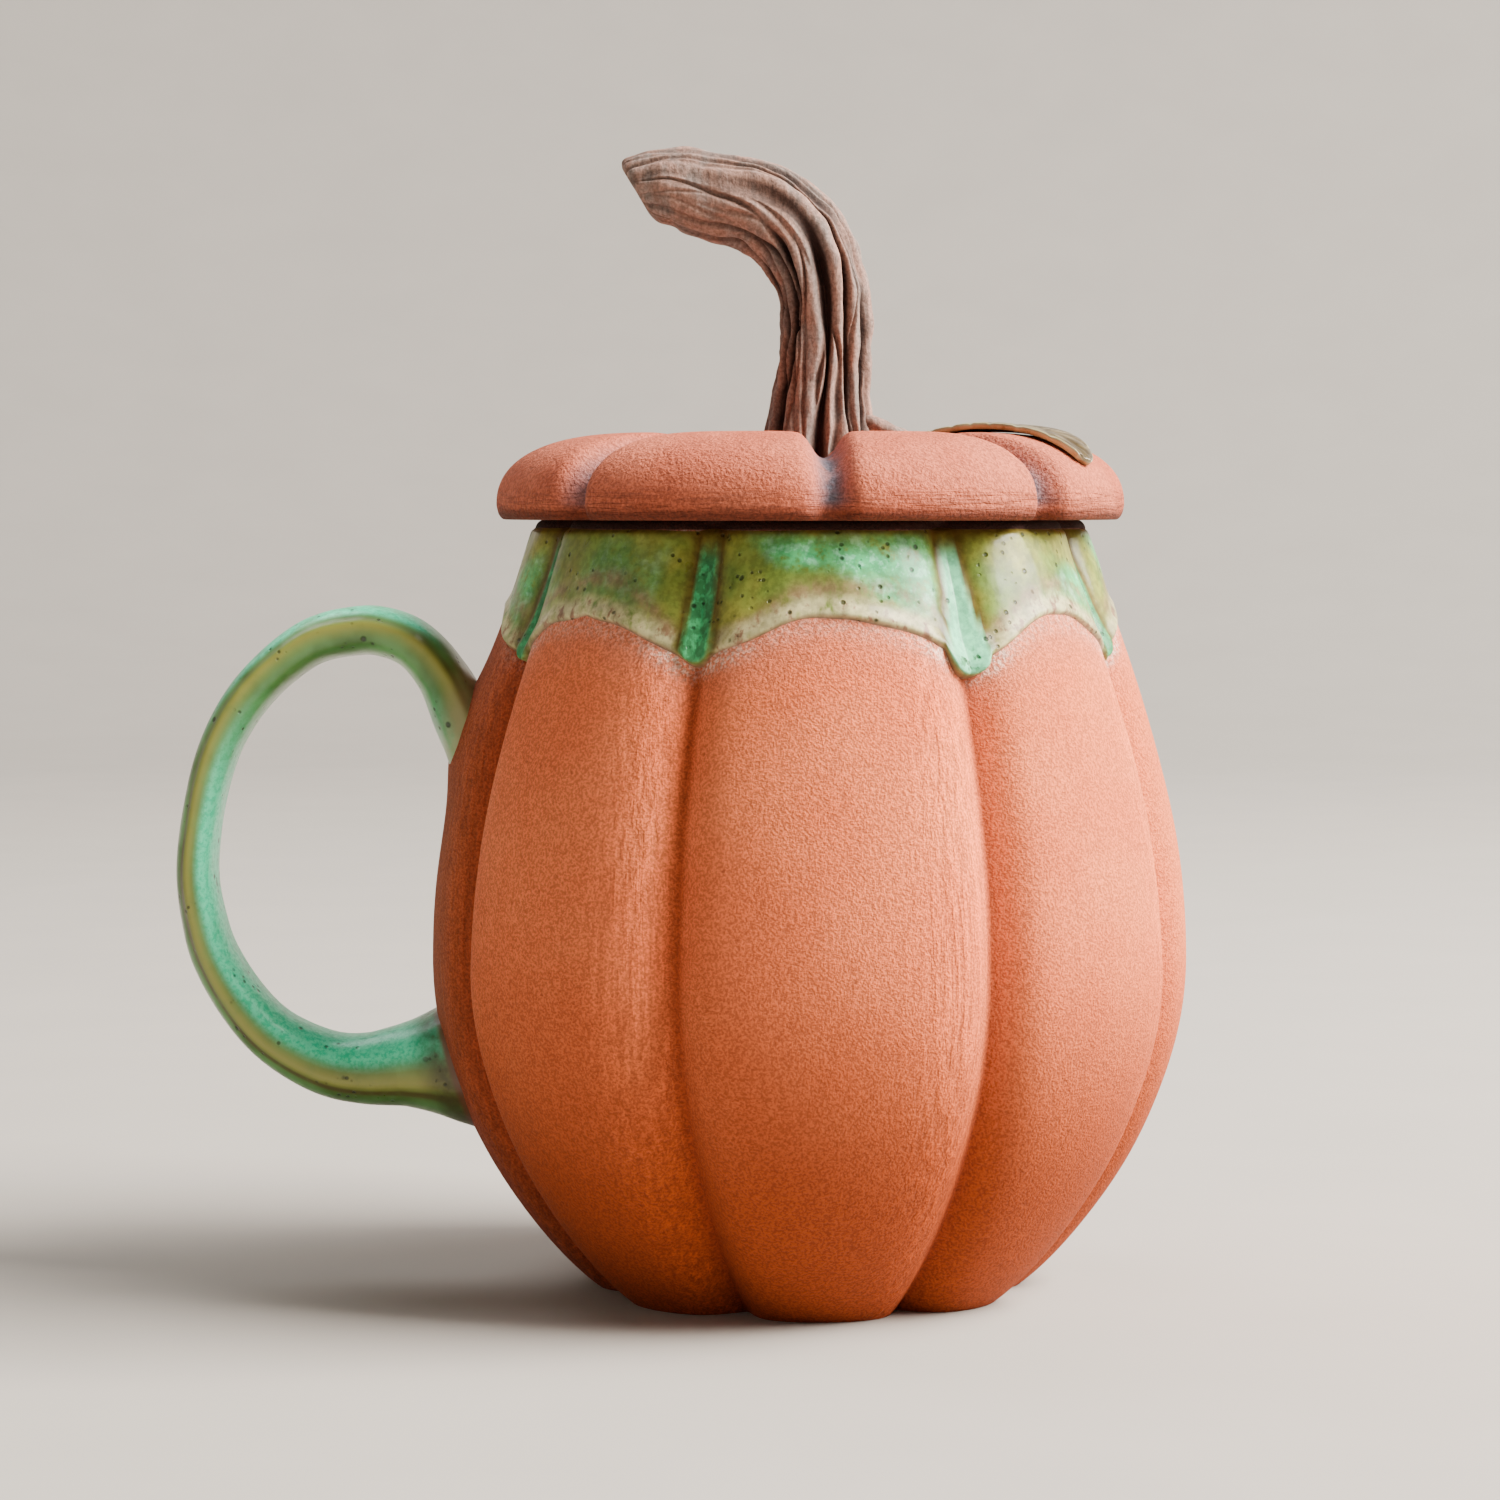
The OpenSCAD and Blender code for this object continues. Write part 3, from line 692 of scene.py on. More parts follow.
def liner_glaze():
    """Pale glossy glaze inside the cup and the lid, greener where it has run together."""
    look = Look("liner_glaze", coat_weight=0.5, coat_roughness=0.08)
    run = look.noise(7, 3.0, 0.55, stretch=(1, 1, 2.5))
    deep = look.masked("deep", look.step(run, 0.3, 0.6, 0.4, 1.0))
    colour = look.blend(deep, LINER, LINER_GREEN)
    colour = look.blend(look.patches(2.2, 0.52, 0.72, 4.0, top=0.5, roughness=0.6), colour, LINER_GREEN)
    colour = look.blend(look.times(look.dots(2.6, 0.3, 0.14), 0.7), colour, LINER_SPECK)
    colour = look.blend(look.mask("edge"), colour, LINER_SPECK)
    look.set(base_color=colour, roughness=look.step(run, 0.2, 0.8, 0.14, 0.26))
    waves = look.noise(4.5, 2.0, 0.4)
    look.set(normal=look.bump(waves, 0.3, 0.5, look.bump(look.noise(0.9, 2.0), 0.04, 0.4)))
    return look.material


STEM_RIDGE = srgb(147, 113, 99)
STEM_GREY = srgb(126, 110, 103)
STEM_FOLD = srgb(42, 23, 17)
STEM_FACET = srgb(98, 48, 32)


def stem_clay():
    """Dark clay rubbed with slip: warm on its ridges, grey on its flanks, nearly black in its folds."""
    look = Look("dark_clay", roughness=0.8, specular_ior_level=0.3)
    patch = look.noise(3.4, 3.0, 0.6, stretch=(1, 1, 3))
    colour = look.blend(look.step(patch, 0.38, 0.62), STEM_RIDGE, STEM_GREY)
    colour = look.blend(look.mask("facet"), colour, STEM_FACET)
    colour = look.blend(look.mask("fold"), colour, STEM_FOLD)
    grain = look.noise(0.5, 3.0, 0.65, shift=8.0)
    fibres = look.noise(0.7, 4.0, 0.65, stretch=(1, 1, 5), shift=14.0)
    colour = look.shade(colour, look.step(grain, 0.3, 0.7), 0.74, 1.2)
    colour = look.shade(colour, look.step(fibres, 0.3, 0.7), 0.82, 1.12)
    look.set(base_color=colour)
    rough_skin = look.bump(look.noise(1.6, 3.0, 0.6, shift=21.0), 0.4, 0.5)
    look.set(normal=look.bump(grain, 0.16, 0.6, look.bump(fibres, 0.2, 0.6, rough_skin)))
    return look.material


LEAF_BRONZE = srgb(128, 110, 72)
LEAF_DARK = srgb(70, 56, 32)
LEAF_EDGE_HIGHLIGHT = srgb(176, 168, 128)


def leaf_glaze():
    """Bronze lustre glaze: a little metallic, dark in the veins, with a painted highlight along the edge."""
    look = Look("bronze_glaze", metallic=0.25, specular_ior_level=0.6, coat_weight=0.3, coat_roughness=0.2)
    cloud = look.noise(3.0, 4.0, 0.6)
    colour = look.blend(look.step(cloud, 0.35, 0.62), LEAF_BRONZE, LEAF_DARK)
    colour = look.blend(look.masked("vein", 0.8), colour, LEAF_DARK)
    # A painted highlight along the leaf's edge.
    colour = look.blend(look.masked("edge", look.step(cloud, 0.2, 0.6)), colour, LEAF_EDGE_HIGHLIGHT)
    look.set(base_color=colour, roughness=look.step(cloud, 0.2, 0.8, 0.24, 0.46))
    grain = look.noise(0.8, 3.0, 0.6, shift=5.0)
    look.set(normal=look.bump(grain, 0.07, 0.6, look.bump(cloud, 0.3, 0.4)))
    return look.material


# -------- mug

COLUMNS_PER_LOBE = 40
FOOT_ROWS = 84
SHOULDER_ROWS = 104
RIM_ROWS = 9
BODY_COLUMNS = Columns(BODY_GROOVES, COLUMNS_PER_LOBE)


def inner_wall():
    """The cup's inside from the lip down to the floor, as [radius, height]."""
    lip = [(MOUTH_R + 0.9, RIM_Z), (MOUTH_R + 0.35, RIM_Z - 0.3), (MOUTH_R, RIM_Z - 1.2)]
    t = np.linspace(1, 0, 40)
    upper = bezier(SHOULDER_CURVE, np.clip(2 * t - 1, 0, 1))
    lower = bezier(FOOT_CURVE, np.clip(0.2 + 1.6 * t, 0, 1))
    outline = np.where(t[:, None] < 0.5, lower, upper)
    lean = np.where(t < 0.5, WALL, mix(WALL, RIM_R - MOUTH_R, np.clip(2 * t - 1, 0, 1)))
    wall = [(o[0] - d, o[1]) for o, d in zip(outline, lean) if FLOOR_T + 0.6 < o[1] < RIM_Z - 1.6]
    corner = wall[-1][0]
    floor = [(corner - 1.4, FLOOR_T + 0.3), (corner - 4, FLOOR_T), (corner - 12, FLOOR_T), (3, FLOOR_T)]
    return lip + wall + floor


def body_masks(points, cols, shoulder):
    """Numbers for the clay at each point. shoulder is its place along the shoulder curve, or below 0."""
    r, z = np.hypot(points[..., 0], points[..., 1]), points[..., 2]
    below_glaze = (glaze_end(cols) - shoulder) * SHOULDER_LENGTH
    above_foot = shoulder >= 0
    away = turn_between(cols.angle, HANDLE_ANGLE)
    return {
        # Painted shade along each crease, wider on the handle's lobe where the next lobe's edge hides the
        # groove.
        "crease": bell(cols.from_groove(r), 0.9 + 3.0 * fade(away, 21, 22.6)) + 0 * z,
        # low: darker towards the foot, partly the clay's own tone and partly painted shade.
        "low": 0.95 * smooth(BELLY_Z - z + 12, 0, 44),
        "flash": 0.65 * fade(below_glaze, 0.5, 9) * above_foot,
        "crystal": fade(below_glaze, 0.4, 3.4) * above_foot * (0.3 + 0.7 * fade(cols.crest, 0.15, 0.5)),
        # Scraped streaks on one flank of each groove, with a painted highlight.
        "scrape_and_highlight": cols.before * smooth(cols.crest, 0.0, 0.1) * fade(cols.crest, 0.3, 0.75) + 0 * z,
        # The handle's lobe: partly a burnt tone of the clay, partly painted shade.
        "burnt_and_shade": 0.8 * fade(away, 19, 27) + 0 * z,
        # rim: a brown stain on the bare clay with painted shade under the lid.
        "rim": smooth(z, RIM_Z - 1.8, RIM_Z - 1.2),
    }


def mug_body():
    """The lobed cup: recess, foot, belly, shoulder and rim outside, and its turned inside."""
    cols = BODY_COLUMNS
    recess = np.array([
        (4, RECESS_H), (12, RECESS_H), (RECESS_R - 1, RECESS_H), (RECESS_R, RECESS_H - 0.2),
        (RECESS_R + 0.8, 0.2), (RECESS_R + 1.4, 0),
    ])
    foot = bezier(FOOT_CURVE, np.linspace(0, 1, FOOT_ROWS))
    shoulder_t = np.linspace(0, 1, SHOULDER_ROWS)[1:]
    shoulder = bezier(SHOULDER_CURVE, shoulder_t)
    turn = np.radians(np.linspace(0, 90, RIM_ROWS)[1:])
    rim = np.stack([RIM_R - RIM_EDGE * (1 - np.cos(turn)), RIM_Z - RIM_EDGE * (1 - np.sin(turn))], -1)
    outline = np.vstack([foot, shoulder, rim])
    outside = body_skin(outline[:, None, :], cols)
    outside = moved_out(outside, 0.07 * lumps(outside, 11, 3) - 0.1)
    outside[0, :, 2] = 0
    below = polar(cols.angle, recess[:, :1], recess[:, 1:])
    ground = np.array([mix(below[-1], outside[0], t) for t in (0.25, 0.5, 0.75, 0.92, 0.98)])
    inner = np.array(inner_wall())
    inside = polar(cols.angle, inner[:, :1], inner[:, 1:])
    top = np.array([mix(outside[-1], inside[0], t) for t in (0.25, 0.5, 0.75)])
    rings = np.vstack([below, ground, outside, top, inside])
    place = np.concatenate([
        np.full(len(below) + len(ground) + len(foot), -1.0), shoulder_t,
        np.full(len(rim) + len(top) + len(inside), 1.0),
    ])
    masks = body_masks(rings, cols, place[:, None])
    grid_mesh("mug_body_clay", rings, masks, body_clay(), "mug", "red_clay", "mug_body")


COLLAR_TOP = 1.008
DRIP_HALF_W = 1.3
DRIP_FLARE = 9
DROP_R = 1.2
DROP_HANG = 0.32
DRIP_WIDTHS = [0.5, 0.8, 1.9, 1.2, 0.6, 1.5, 0.9, 1.7]
LOBE_POOLS = [0.2, 1.0, 0.7, 0.9, 0.5, 0.8, 1.0, 0.5]


def drip_width(cols):
    """How much wider than its narrowest the nearest crease's drip gets at its end."""
    return np.array(DRIP_WIDTHS)[cols.groove]


def drip_end(cols):
    """Where along the shoulder curve the glaze ends, with a round drop hanging at the foot of each drip."""
    end = glaze_end(cols)
    side = cols.from_groove(bezier(SHOULDER_CURVE, end)[:, 0])
    drop_r = DROP_R + drip_width(cols)
    drop = drop_r * (1 - DROP_HANG - np.sqrt(np.clip(1 - (side / drop_r) ** 2, 0, 1)))
    crease_end = end[cols.crest == 0][cols.groove]
    return np.minimum(end, np.where(side < drop_r, 0, 1) + crease_end + drop / SHOULDER_LENGTH)


def collar():
    """The collar's glaze: a skin with a bead along its scalloped edge and a drip in each crease."""
    cols = BODY_COLUMNS
    end = drip_end(cols)
    spread = np.linspace(0, 1, 70) ** 1.25
    along = mix(end[None, :], COLLAR_TOP, spread[:, None])
    above = (along - end) * SHOULDER_LENGTH
    below_top = (COLLAR_TOP - along) * SHOULDER_LENGTH
    outline = bezier(SHOULDER_CURVE, along)
    inner = body_skin(outline, cols, -GLAZE_ROOT)
    rise = smooth(above, -0.05, 1.0) * smooth(below_top, -0.05, 0.9)
    bead = GLAZE_BEAD * bell(above - 1.3, 1.1)
    dist = cols.from_groove(outline[..., 0])
    wide = drip_width(cols)
    half_width = DRIP_HALF_W + wide * bell(above, DRIP_FLARE)
    run = np.sqrt(np.clip(1 - (dist / (half_width + 0.4)) ** 2, 0, 1))
    drip = GLAZE_RUN * run * (0.8 + 0.9 * bell(above - 2.6, 2.6))
    depth = rise * (GLAZE_T + bead + drip + 0.14 * lumps(inner, 6, 5))
    outer = body_skin(outline, cols, -0.02) + outward(inner) * (depth - GLAZE_SUNK)[..., None]
    outer[[0, -1]] = inner[[0, -1]]
    blotch = lumps(inner, 12, 23)
    height = above / np.maximum(above + below_top, 1)
    pool = smooth(cols.crest, 0.12, 0.3) * bell(height - 0.52, 0.33)
    masks = {
        "pool": np.clip(pool * smooth(blotch, -0.2, 0.5) * 1.3 * np.array(LOBE_POOLS)[cols.lobe], 0, 1),
        "drip": smooth(half_width - dist, -0.25, 0.3) * smooth(above, 0.2, 1.4) * smooth(below_top, 1.0, 5.0),
        "outline": bell(dist - half_width - 0.5, 0.8) * smooth(above, 0.2, 1.4),
        "pale": 0.8 * smooth(wide, 1.1, 1.6),
        "pool_end": smooth(wide, 1.1, 1.6) * bell(above - 2.6, 1.8) * smooth(half_width - dist, 0.6, 1.6),
        "break": bell(above - 4.6 - 1.2 * blotch, 1.5) * smooth(dist - half_width, 0.4, 2),
        "fringe": fade(above, 2.0, 4.4) * smooth(dist - half_width, 0.2, 1.5),
        "edge": fade(above, 0.2, 0.9),
        "top": 0.85 * fade(below_top, 0.3, 1.6 + 2.2 * bell(dist, 4)),
    }
    rings = np.vstack([inner, outer[::-1]])
    masks = {key: np.vstack([m + 0 * above, (m + 0 * above)[::-1]]) for key, m in masks.items()}
    glaze = collar_glaze()
    grid_mesh("collar_glaze_skin", rings, masks, glaze, "mug", "green_glaze", "collar_glaze", wrap_rows=True)


def liner(glaze):
    """The glaze that lines the cup, from just below the lip to the floor."""
    wall = np.array([(MOUTH_R, LINER_TOP)] + [p for p in inner_wall() if p[1] < LINER_TOP - 0.5])
    face = wall - np.stack([np.full(len(wall), LINER_T), 0 * wall[:, 1]], -1)
    face[:, 1] = np.maximum(face[:, 1], FLOOR_T + LINER_T)
    face[-3:, 0] = wall[-3:, 0]
    back = wall + (0.1, 0)
    back[-4:, 1] -= 0.1
    back[-4:, 0] = wall[-4:, 0]
    rounding = [(wall[0][0] - 0.1, wall[0][1] + 0.15)]
    profile = filled(np.vstack([back[::-1], rounding, face]), 2.0)
    rings = turned(profile)
    z = rings[..., 2]
    masks = {"deep": fade(z, 8, 70), "edge": smooth(z, RIM_Z - 2.6, RIM_Z - 1.8)}
    rings[..., :2] *= (1 - 0.0012 * (1 + lumps(rings, 9, 41)))[..., None]
    grid_mesh("cup_liner", rings, masks, glaze, "mug", "liner_glaze", "liner_glaze")


# -------- handle

STRAP_SIDES = 72


def squarish(x):
    """Takes a sine towards a square wave, which turns a round section into one with rounded corners."""
    return np.sign(x) * np.abs(x) ** 0.8


def strap(t, grow=0.0):
    """Rings of the strap at places t along its line, which counts the line's points from 0."""
    path = through(STRAP_LINE, t)
    size = through(STRAP_SIZE, t) / 2
    heading = headings(path)
    a = np.radians(all_round(STRAP_SIDES))[None, :]
    n = (size[:, :1] + grow) * squarish(np.cos(a))
    w = (size[:, 1:] + grow) * squarish(np.sin(a))
    return np.stack([path[:, :1] - heading[:, 1:] * n, -w, path[:, 1:] + heading[:, :1] * n], -1)


def strap_fold():
    """The turn round the strap's section: 0 on its inner face, 90 on its edges and 180 on its outer face."""
    return turn_between(all_round(STRAP_SIDES))[None, :]


def strap_relief(t):
    """The strap's uneven surface: lumps, and a faint ridge along each edge."""
    fold = strap_fold()
    ridge = 0.16 * bell(fold - 103, 10) - 0.12 * bell(fold - 121, 9)
    return ridge + 0.1 * lumps(strap(t), 7, 51) - 0.24


def wall_gap(points):
    """How far points are outside the body's outline at their height; below 0 inside it."""
    t = np.linspace(0, 1, 60)
    curve = np.vstack([bezier(FOOT_CURVE, t), bezier(SHOULDER_CURVE, t)])
    return np.hypot(points[..., 0], points[..., 1]) - np.interp(points[..., 2], curve[:, 1], curve[:, 0])


def kept_in_wall(points, deep):
    """The points, with any that reach deeper into the cup's wall than this moved back out to that depth."""
    return moved_out(points, np.clip(-deep - wall_gap(points), 0, None))


def strap_masks(rings):
    """Numbers for the strap's glaze at each point."""
    fold = strap_fold()
    z = rings[..., 2]
    low = fade(z, 62, 88)
    gap = wall_gap(rings)
    return {
        "inner": fade(fold, 70, 92) * low,
        "gold": bell(fold - 101, 13) + 0 * z,
        "line": bell(fold - 117, 6) * (0.35 + 0.65 * low),
        # A painted highlight along the top of the outer face.
        "top_highlight": 0.9 * smooth(fold, 122, 142) * smooth(z, 74, 92) * smooth(gap, 6, 12),
        # end and high: the strap's ends, with painted shade low down and painted light high up.
        "end": 0.9 * fade(gap, 1, 6),
        "high": smooth(z, 55, 65),
        "seam": fade(gap, -0.2, 0.7),
    }


def handle(glaze):
    """The pulled strap."""
    t = np.linspace(0, len(STRAP_LINE) - 1, 260)
    rings = kept_in_wall(strap(t, strap_relief(t)), STRAP_BURIED)
    grid_mesh("handle_strap", rings, strap_masks(rings), glaze, "mug", "green_glaze", "handle")


def joint(name, node, wall_t, far_t, thick, glaze):
    """Clay smoothed round one end of the strap: thick at the wall, and gone at the far end."""
    t = np.linspace(min(wall_t, far_t), max(wall_t, far_t), 44)
    away = np.abs(t - wall_t)[:, None] / FILLET_SPAN
    relief = strap_relief(t)
    inner = strap(t, -JOINT_INSET)
    outer = strap(t, relief + (thick + 0.15 * lumps(inner, 3, 61)) * (1 - away) ** 1.6 - 0.1 * away)
    rings = np.vstack([kept_in_wall(inner, STRAP_BURIED), kept_in_wall(outer, JOINT_BURIED)[::-1]])
    grid_mesh(name, rings, strap_masks(rings), glaze, "mug", "joint_clay", node, wrap_rows=True)


# -------- lid

LID_COLUMNS = Columns(LID_GROOVES, COLUMNS_PER_LOBE)


def lid_depth(cols, r):
    """How far the lid's surface lies inside its outline: a shallow hollow, and a crease in its middle.

    Both fade towards the stem.
    """
    hollow = LID_HOLLOW * (1 - cols.crest) ** 4 * np.minimum(1, r / DOME_W)
    crease = LID_CREASE * bell(cols.from_groove(r), LID_CREASE_W, 3)
    return hollow + crease * np.minimum(1, r / LID_CREASE_R)


def lid_outline(v):
    """The lid's outline: v runs to 1 round the under edge, to 2 up the side, and to 3 over the top."""
    turn = np.radians(90 * np.clip(v, 0, 1))
    edge = np.stack([LID_R - LID_UNDERCUT * (1 - np.sin(turn)), LID_Z + LID_EDGE * (1 - np.cos(turn))], -1)
    side = bezier(LID_SIDE, np.clip(v - 1, 0, 1))
    top = bezier(LID_TOP, np.clip(v - 2, 0, 1))
    v = v[:, None]
    return np.where(v <= 1, edge, np.where(v <= 2, side, top))


def lid_hollow(inset):
    """The hollow under the dome from its middle to the lid's underside, as [radius, height]."""
    top, r = HOLLOW_Z - inset, HOLLOW_R - inset
    return [(2, top), (r - 8, top), (r - 4, top - 0.5), (r - 1.2, LID_Z + 3.4), (r, LID_Z + 1.5)]


def lid_cap():
    """The lobed dome. Each groove is cut square to the surface: inwards on the side, downwards on the top."""
    cols = LID_COLUMNS
    stretches = [(0, 1, 12), (1, 1.3, 40), (1.3, 2, 44), (2, 3, 30)]
    v = np.concatenate([[0]] + [np.linspace(start, end, rows)[1:] for start, end, rows in stretches])
    outline = lid_outline(v)
    r, z = outline[:, :1], outline[:, 1:]
    rise = np.clip(v - 1, 0, 1)[:, None]
    lean = np.radians(np.sin(np.pi / 2 * rise) ** 2 * 90)
    depth = lid_depth(cols, r)
    line = 0.05 * waver(np.clip((z - LID_Z) / LID_EDGE / 2.2, 0, 1) * 9, 71, 5)
    line = line * fade(z, LID_Z + 3, LID_Z + 5.5)
    height = np.maximum(z - depth * np.sin(lean), LID_Z)
    outside = polar(cols.angle, r - depth * np.cos(lean) + line - 0.08, height)
    outside = moved_out(outside, 0.05 * lumps(outside, 8, 73) - 0.05)
    hollow = filled(lid_hollow(0) + [(HOLLOW_R, LID_Z)], 3.0)
    below = polar(cols.angle, hollow[:, :1], hollow[:, 1:])
    under = np.array([mix(below[-1], outside[0], t) for t in (0.3, 0.6, 0.85, 0.96)])
    rings = np.vstack([below, under, outside])
    r, height = np.hypot(rings[..., 0], rings[..., 1]), rings[..., 2] - LID_Z
    masks = {
        "wash": 0.95 * bell(cols.from_groove(r), 1.9) * smooth(height, 0.8, 3) * smooth(r, 8, 16),
        "turning": fade(height, 2.6, 5.4) * smooth(r, HOLLOW_R + 4, LID_R - 3),
        # edge: painted shade along the lid's lower edge.
        "edge": 0.85 * fade(height, 0.6, 2.2) * smooth(r, HOLLOW_R + 4, LID_R - 4),
    }
    grid_mesh("lid_cap_clay", rings, masks, lid_clay(), "lid", "lid_clay", "lid_cap")


def lid_flange(clay):
    """The ring that locates the lid in the mouth, with its turning lines."""
    edge = 1.1
    corner = edge * 0.3
    profile = filled([
        (HOLLOW_R, LID_Z + 0.4), (HOLLOW_R, FLANGE_Z + edge), (HOLLOW_R + corner, FLANGE_Z + corner),
        (HOLLOW_R + edge, FLANGE_Z), (FLANGE_R - edge, FLANGE_Z), (FLANGE_R - corner, FLANGE_Z + corner),
        (FLANGE_R, FLANGE_Z + edge), (FLANGE_R, LID_Z + 0.4), (HOLLOW_R, LID_Z + 0.4),
    ], 0.5)[:-1]
    rings = turned(profile)
    rings[..., :2] *= (1 - 0.0008 * (1 + waver(rings[..., 2] / 3, 77, 6)))[..., None]
    # The flange takes a little of the painted shade of the lid's lower edge.
    masks = {"wash": 0.0, "turning": 0.8, "edge": 0.15}
    grid_mesh("lid_flange_clay", rings, masks, clay, "lid", "lid_clay", "lid_flange", wrap_rows=True)


def lid_liner(glaze):
    """Glaze over the inside of the lid's dome."""
    face, back = lid_hollow(LINER_T), lid_hollow(-0.1)
    rounding = [(HOLLOW_R - 0.1, LID_Z + 0.5), (HOLLOW_R - LINER_T, LID_Z + 0.6)]
    profile = filled(back + rounding + face[::-1], 2.0)
    rings = turned(profile)
    z = rings[..., 2]
    masks = {"deep": smooth(z, LID_Z, HOLLOW_Z), "edge": fade(z, LID_Z + 0.6, LID_Z + 1.2)}
    grid_mesh("lid_liner", rings, masks, glaze, "lid", "liner_glaze", "lid_liner_glaze")


# -------- stem and leaf


def folds(a, t, count, width, seed, drift):
    """Folds that run up the stem at angles a and places t, each wandering, swelling and fading by itself."""
    depth = np.zeros(np.broadcast_shapes(a.shape, t.shape))
    rng = np.random.default_rng(seed)
    for k in range(count):
        start = 360 * (k + 0.3 * rng.uniform(-1, 1)) / count
        path = start + 16 * t + drift * waver(t, seed + 100 + k) + 0.5 * drift * waver(t * 3, seed + 200 + k)
        wide = width * (1 + 0.5 * rng.uniform(-1, 1)) * (1 + 0.3 * waver(t * 2, seed + 300 + k))
        swell = np.clip(0.85 + 0.4 * waver(t * 2, seed + 400 + k), 0.15, 1.08)
        depth = np.maximum(depth, swell * bell(turn_between(a, path), wide))
    return depth


def stem_folds(a, t):
    """Depth of the stem's surface below its crests: deep folds, and fine ones between them."""
    return np.maximum(folds(a, t, STEM_FOLDS, 5.4, 5, 6), 0.4 * folds(a, t, STEM_FINE_FOLDS, 3.0, 6, 8))


def stem():
    """The bent stem: deep flowing folds, a flared foot, and a smooth cut across its end."""
    rows, sides = 250, 300
    last = len(STEM_LINE) - 1
    t = np.linspace(0, last, rows)
    path = through(STEM_LINE, t)
    scale = through(STEM_SCALE, t)
    heading = headings(path)
    side = np.array([0.0, 1.0, 0.0])
    up = np.cross(heading, side)
    t = (t / last)[:, None]
    a = all_round(sides)[None, :]
    fold = stem_folds(a, t)
    deep = STEM_FOLD_DEPTH * (1 - 0.8 * smooth(t, 0.45, 0.88)) * (1 + 0.5 * fade(t, 0.0, 0.16))
    blunt = 1 - STEM_BLUNT * np.clip((t - 0.95) / 0.05, 0, 1) ** 3
    r = (STEM_R * scale - deep * fold) * blunt
    lean = STEM_CUT_LEAN * t**6
    turn = np.radians(a)[..., None]
    spoke = up[:, None] * np.cos(turn) - side * np.sin(turn)
    rings = path[:, None] + spoke * r[..., None]
    rings = rings - heading[:, None] * (lean * r * np.cos(turn[..., 0]))[..., None]
    rings = rings + spoke * (0.16 * lumps(rings, 2.4, 81) - 0.24)[..., None]
    normal = np.array(FACET_NORMAL) / np.linalg.norm(FACET_NORMAL)
    over = (rings - np.array(FACET_POINT)) @ normal
    over = np.where(t > 0.6, over, -1)
    rings = rings - normal * np.clip(over, 0, None)[..., None]
    facet = smooth(over, -0.05, 0.15)
    shown = 1 - 0.6 * smooth(t, 0.5, 0.88)
    masks = {"fold": np.clip(1.25 * smooth(fold, 0.1, 0.7), 0, 1) * shown * (1 - facet), "facet": facet}
    grid_mesh("stem_folded", rings, masks, stem_clay(), "lid", "dark_clay", "stem")


def dome_z(r):
    """Height of the lid's crests at radius r."""
    curve = lid_outline(np.linspace(3, 1, 100))
    return np.interp(r, curve[:, 0], curve[:, 1])


def leaf():
    """A thin blade that follows the dome, its edges curled up off it, with a midrib and side veins."""
    steps, cross = 110, 40
    t = np.linspace(0, 1, steps)[:, None]
    path = through(LEAF_LINE, t[:, 0] * (len(LEAF_LINE) - 1))
    heading = headings(path)
    half = LEAF_W * np.sin(np.pi * mix(0.06, 0.98, t**0.8)) ** 0.8
    w = np.sin(np.linspace(-np.pi / 2, np.pi / 2, cross))[None, :]
    midrib = bell(w * half, 0.7)
    ribs = 0.5 + 0.5 * np.cos((t * LEAF_RIBS - np.abs(w) * LEAF_RIB_SLANT) * math.tau)
    vein = np.clip(midrib + 0.6 * ribs**8 * smooth(np.abs(w), 0.08, 0.2), 0, 1)
    thick = LEAF_T * (0.6 + 0.4 * np.sqrt(np.clip(1 - w**4, 0, 1)))

    def sheet(up):
        plan = path[:, None] + np.stack([heading[:, 1], -heading[:, 0]], -1)[:, None] * (half * w)[..., None]
        r = np.linalg.norm(plan, axis=-1)
        edge = np.minimum(r, LID_R - 0.8)
        slope = dome_z(edge - 0.5) - dome_z(edge + 0.5)
        lift = LEAF_LIFT + LEAF_CURL * w * w * np.sin(np.radians(150 * t)) + up
        length = np.hypot(slope, 1)
        spread = plan * (1 + slope / length * lift / r)[..., None]
        return np.concatenate([spread, (dome_z(r) + lift / length)[..., None]], -1)

    low, high = sheet(0), sheet(thick - LEAF_VEIN_DEPTH * vein)
    rings = np.concatenate([low, high[:, ::-1]], 1)
    # edge: where the painted highlight along the leaf's rim goes.
    edge = smooth(np.abs(w), 0.86, 0.98) + 0 * t
    masks = {
        "vein": np.concatenate([0 * vein, vein[:, ::-1]], 1),
        "edge": np.concatenate([edge, edge[:, ::-1]], 1),
    }
    grid_mesh("leaf_blade", rings, masks, leaf_glaze(), "lid", "bronze_glaze", "leaf")


def leaf_stalk():
    """A thin roll of clay from the stem's foot to the leaf."""
    sides = 28
    t = np.linspace(0, len(STALK_LINE) - 1, 70)
    path = through(STALK_LINE, t)
    heading = headings(path)
    side = np.cross(heading, (0, 0, 1))
    side = side / np.linalg.norm(side, axis=-1, keepdims=True)
    up = np.cross(side, heading)
    a = (np.arange(sides) * math.tau / sides)[None, :, None]
    around = side[:, None] * np.cos(a) + up[:, None] * np.sin(a)
    plain = path[:, None] + around * STALK_R
    rings = path[:, None] + around * (STALK_R * (0.93 + 0.07 * lumps(plain, 1.6, 91)))[..., None]
    masks = {"fold": 0.2, "facet": 0.0}
    grid_mesh("leaf_stalk_roll", rings, masks, stem_clay(), "lid", "dark_clay", "leaf_stalk")


# -------- stage, light and camera

STAGE_R = 2.2
STAGE_FLOOR_R = 1.2
STAGE_H = 1.6
STAGE_COLOUR = srgb(170, 164, 157)


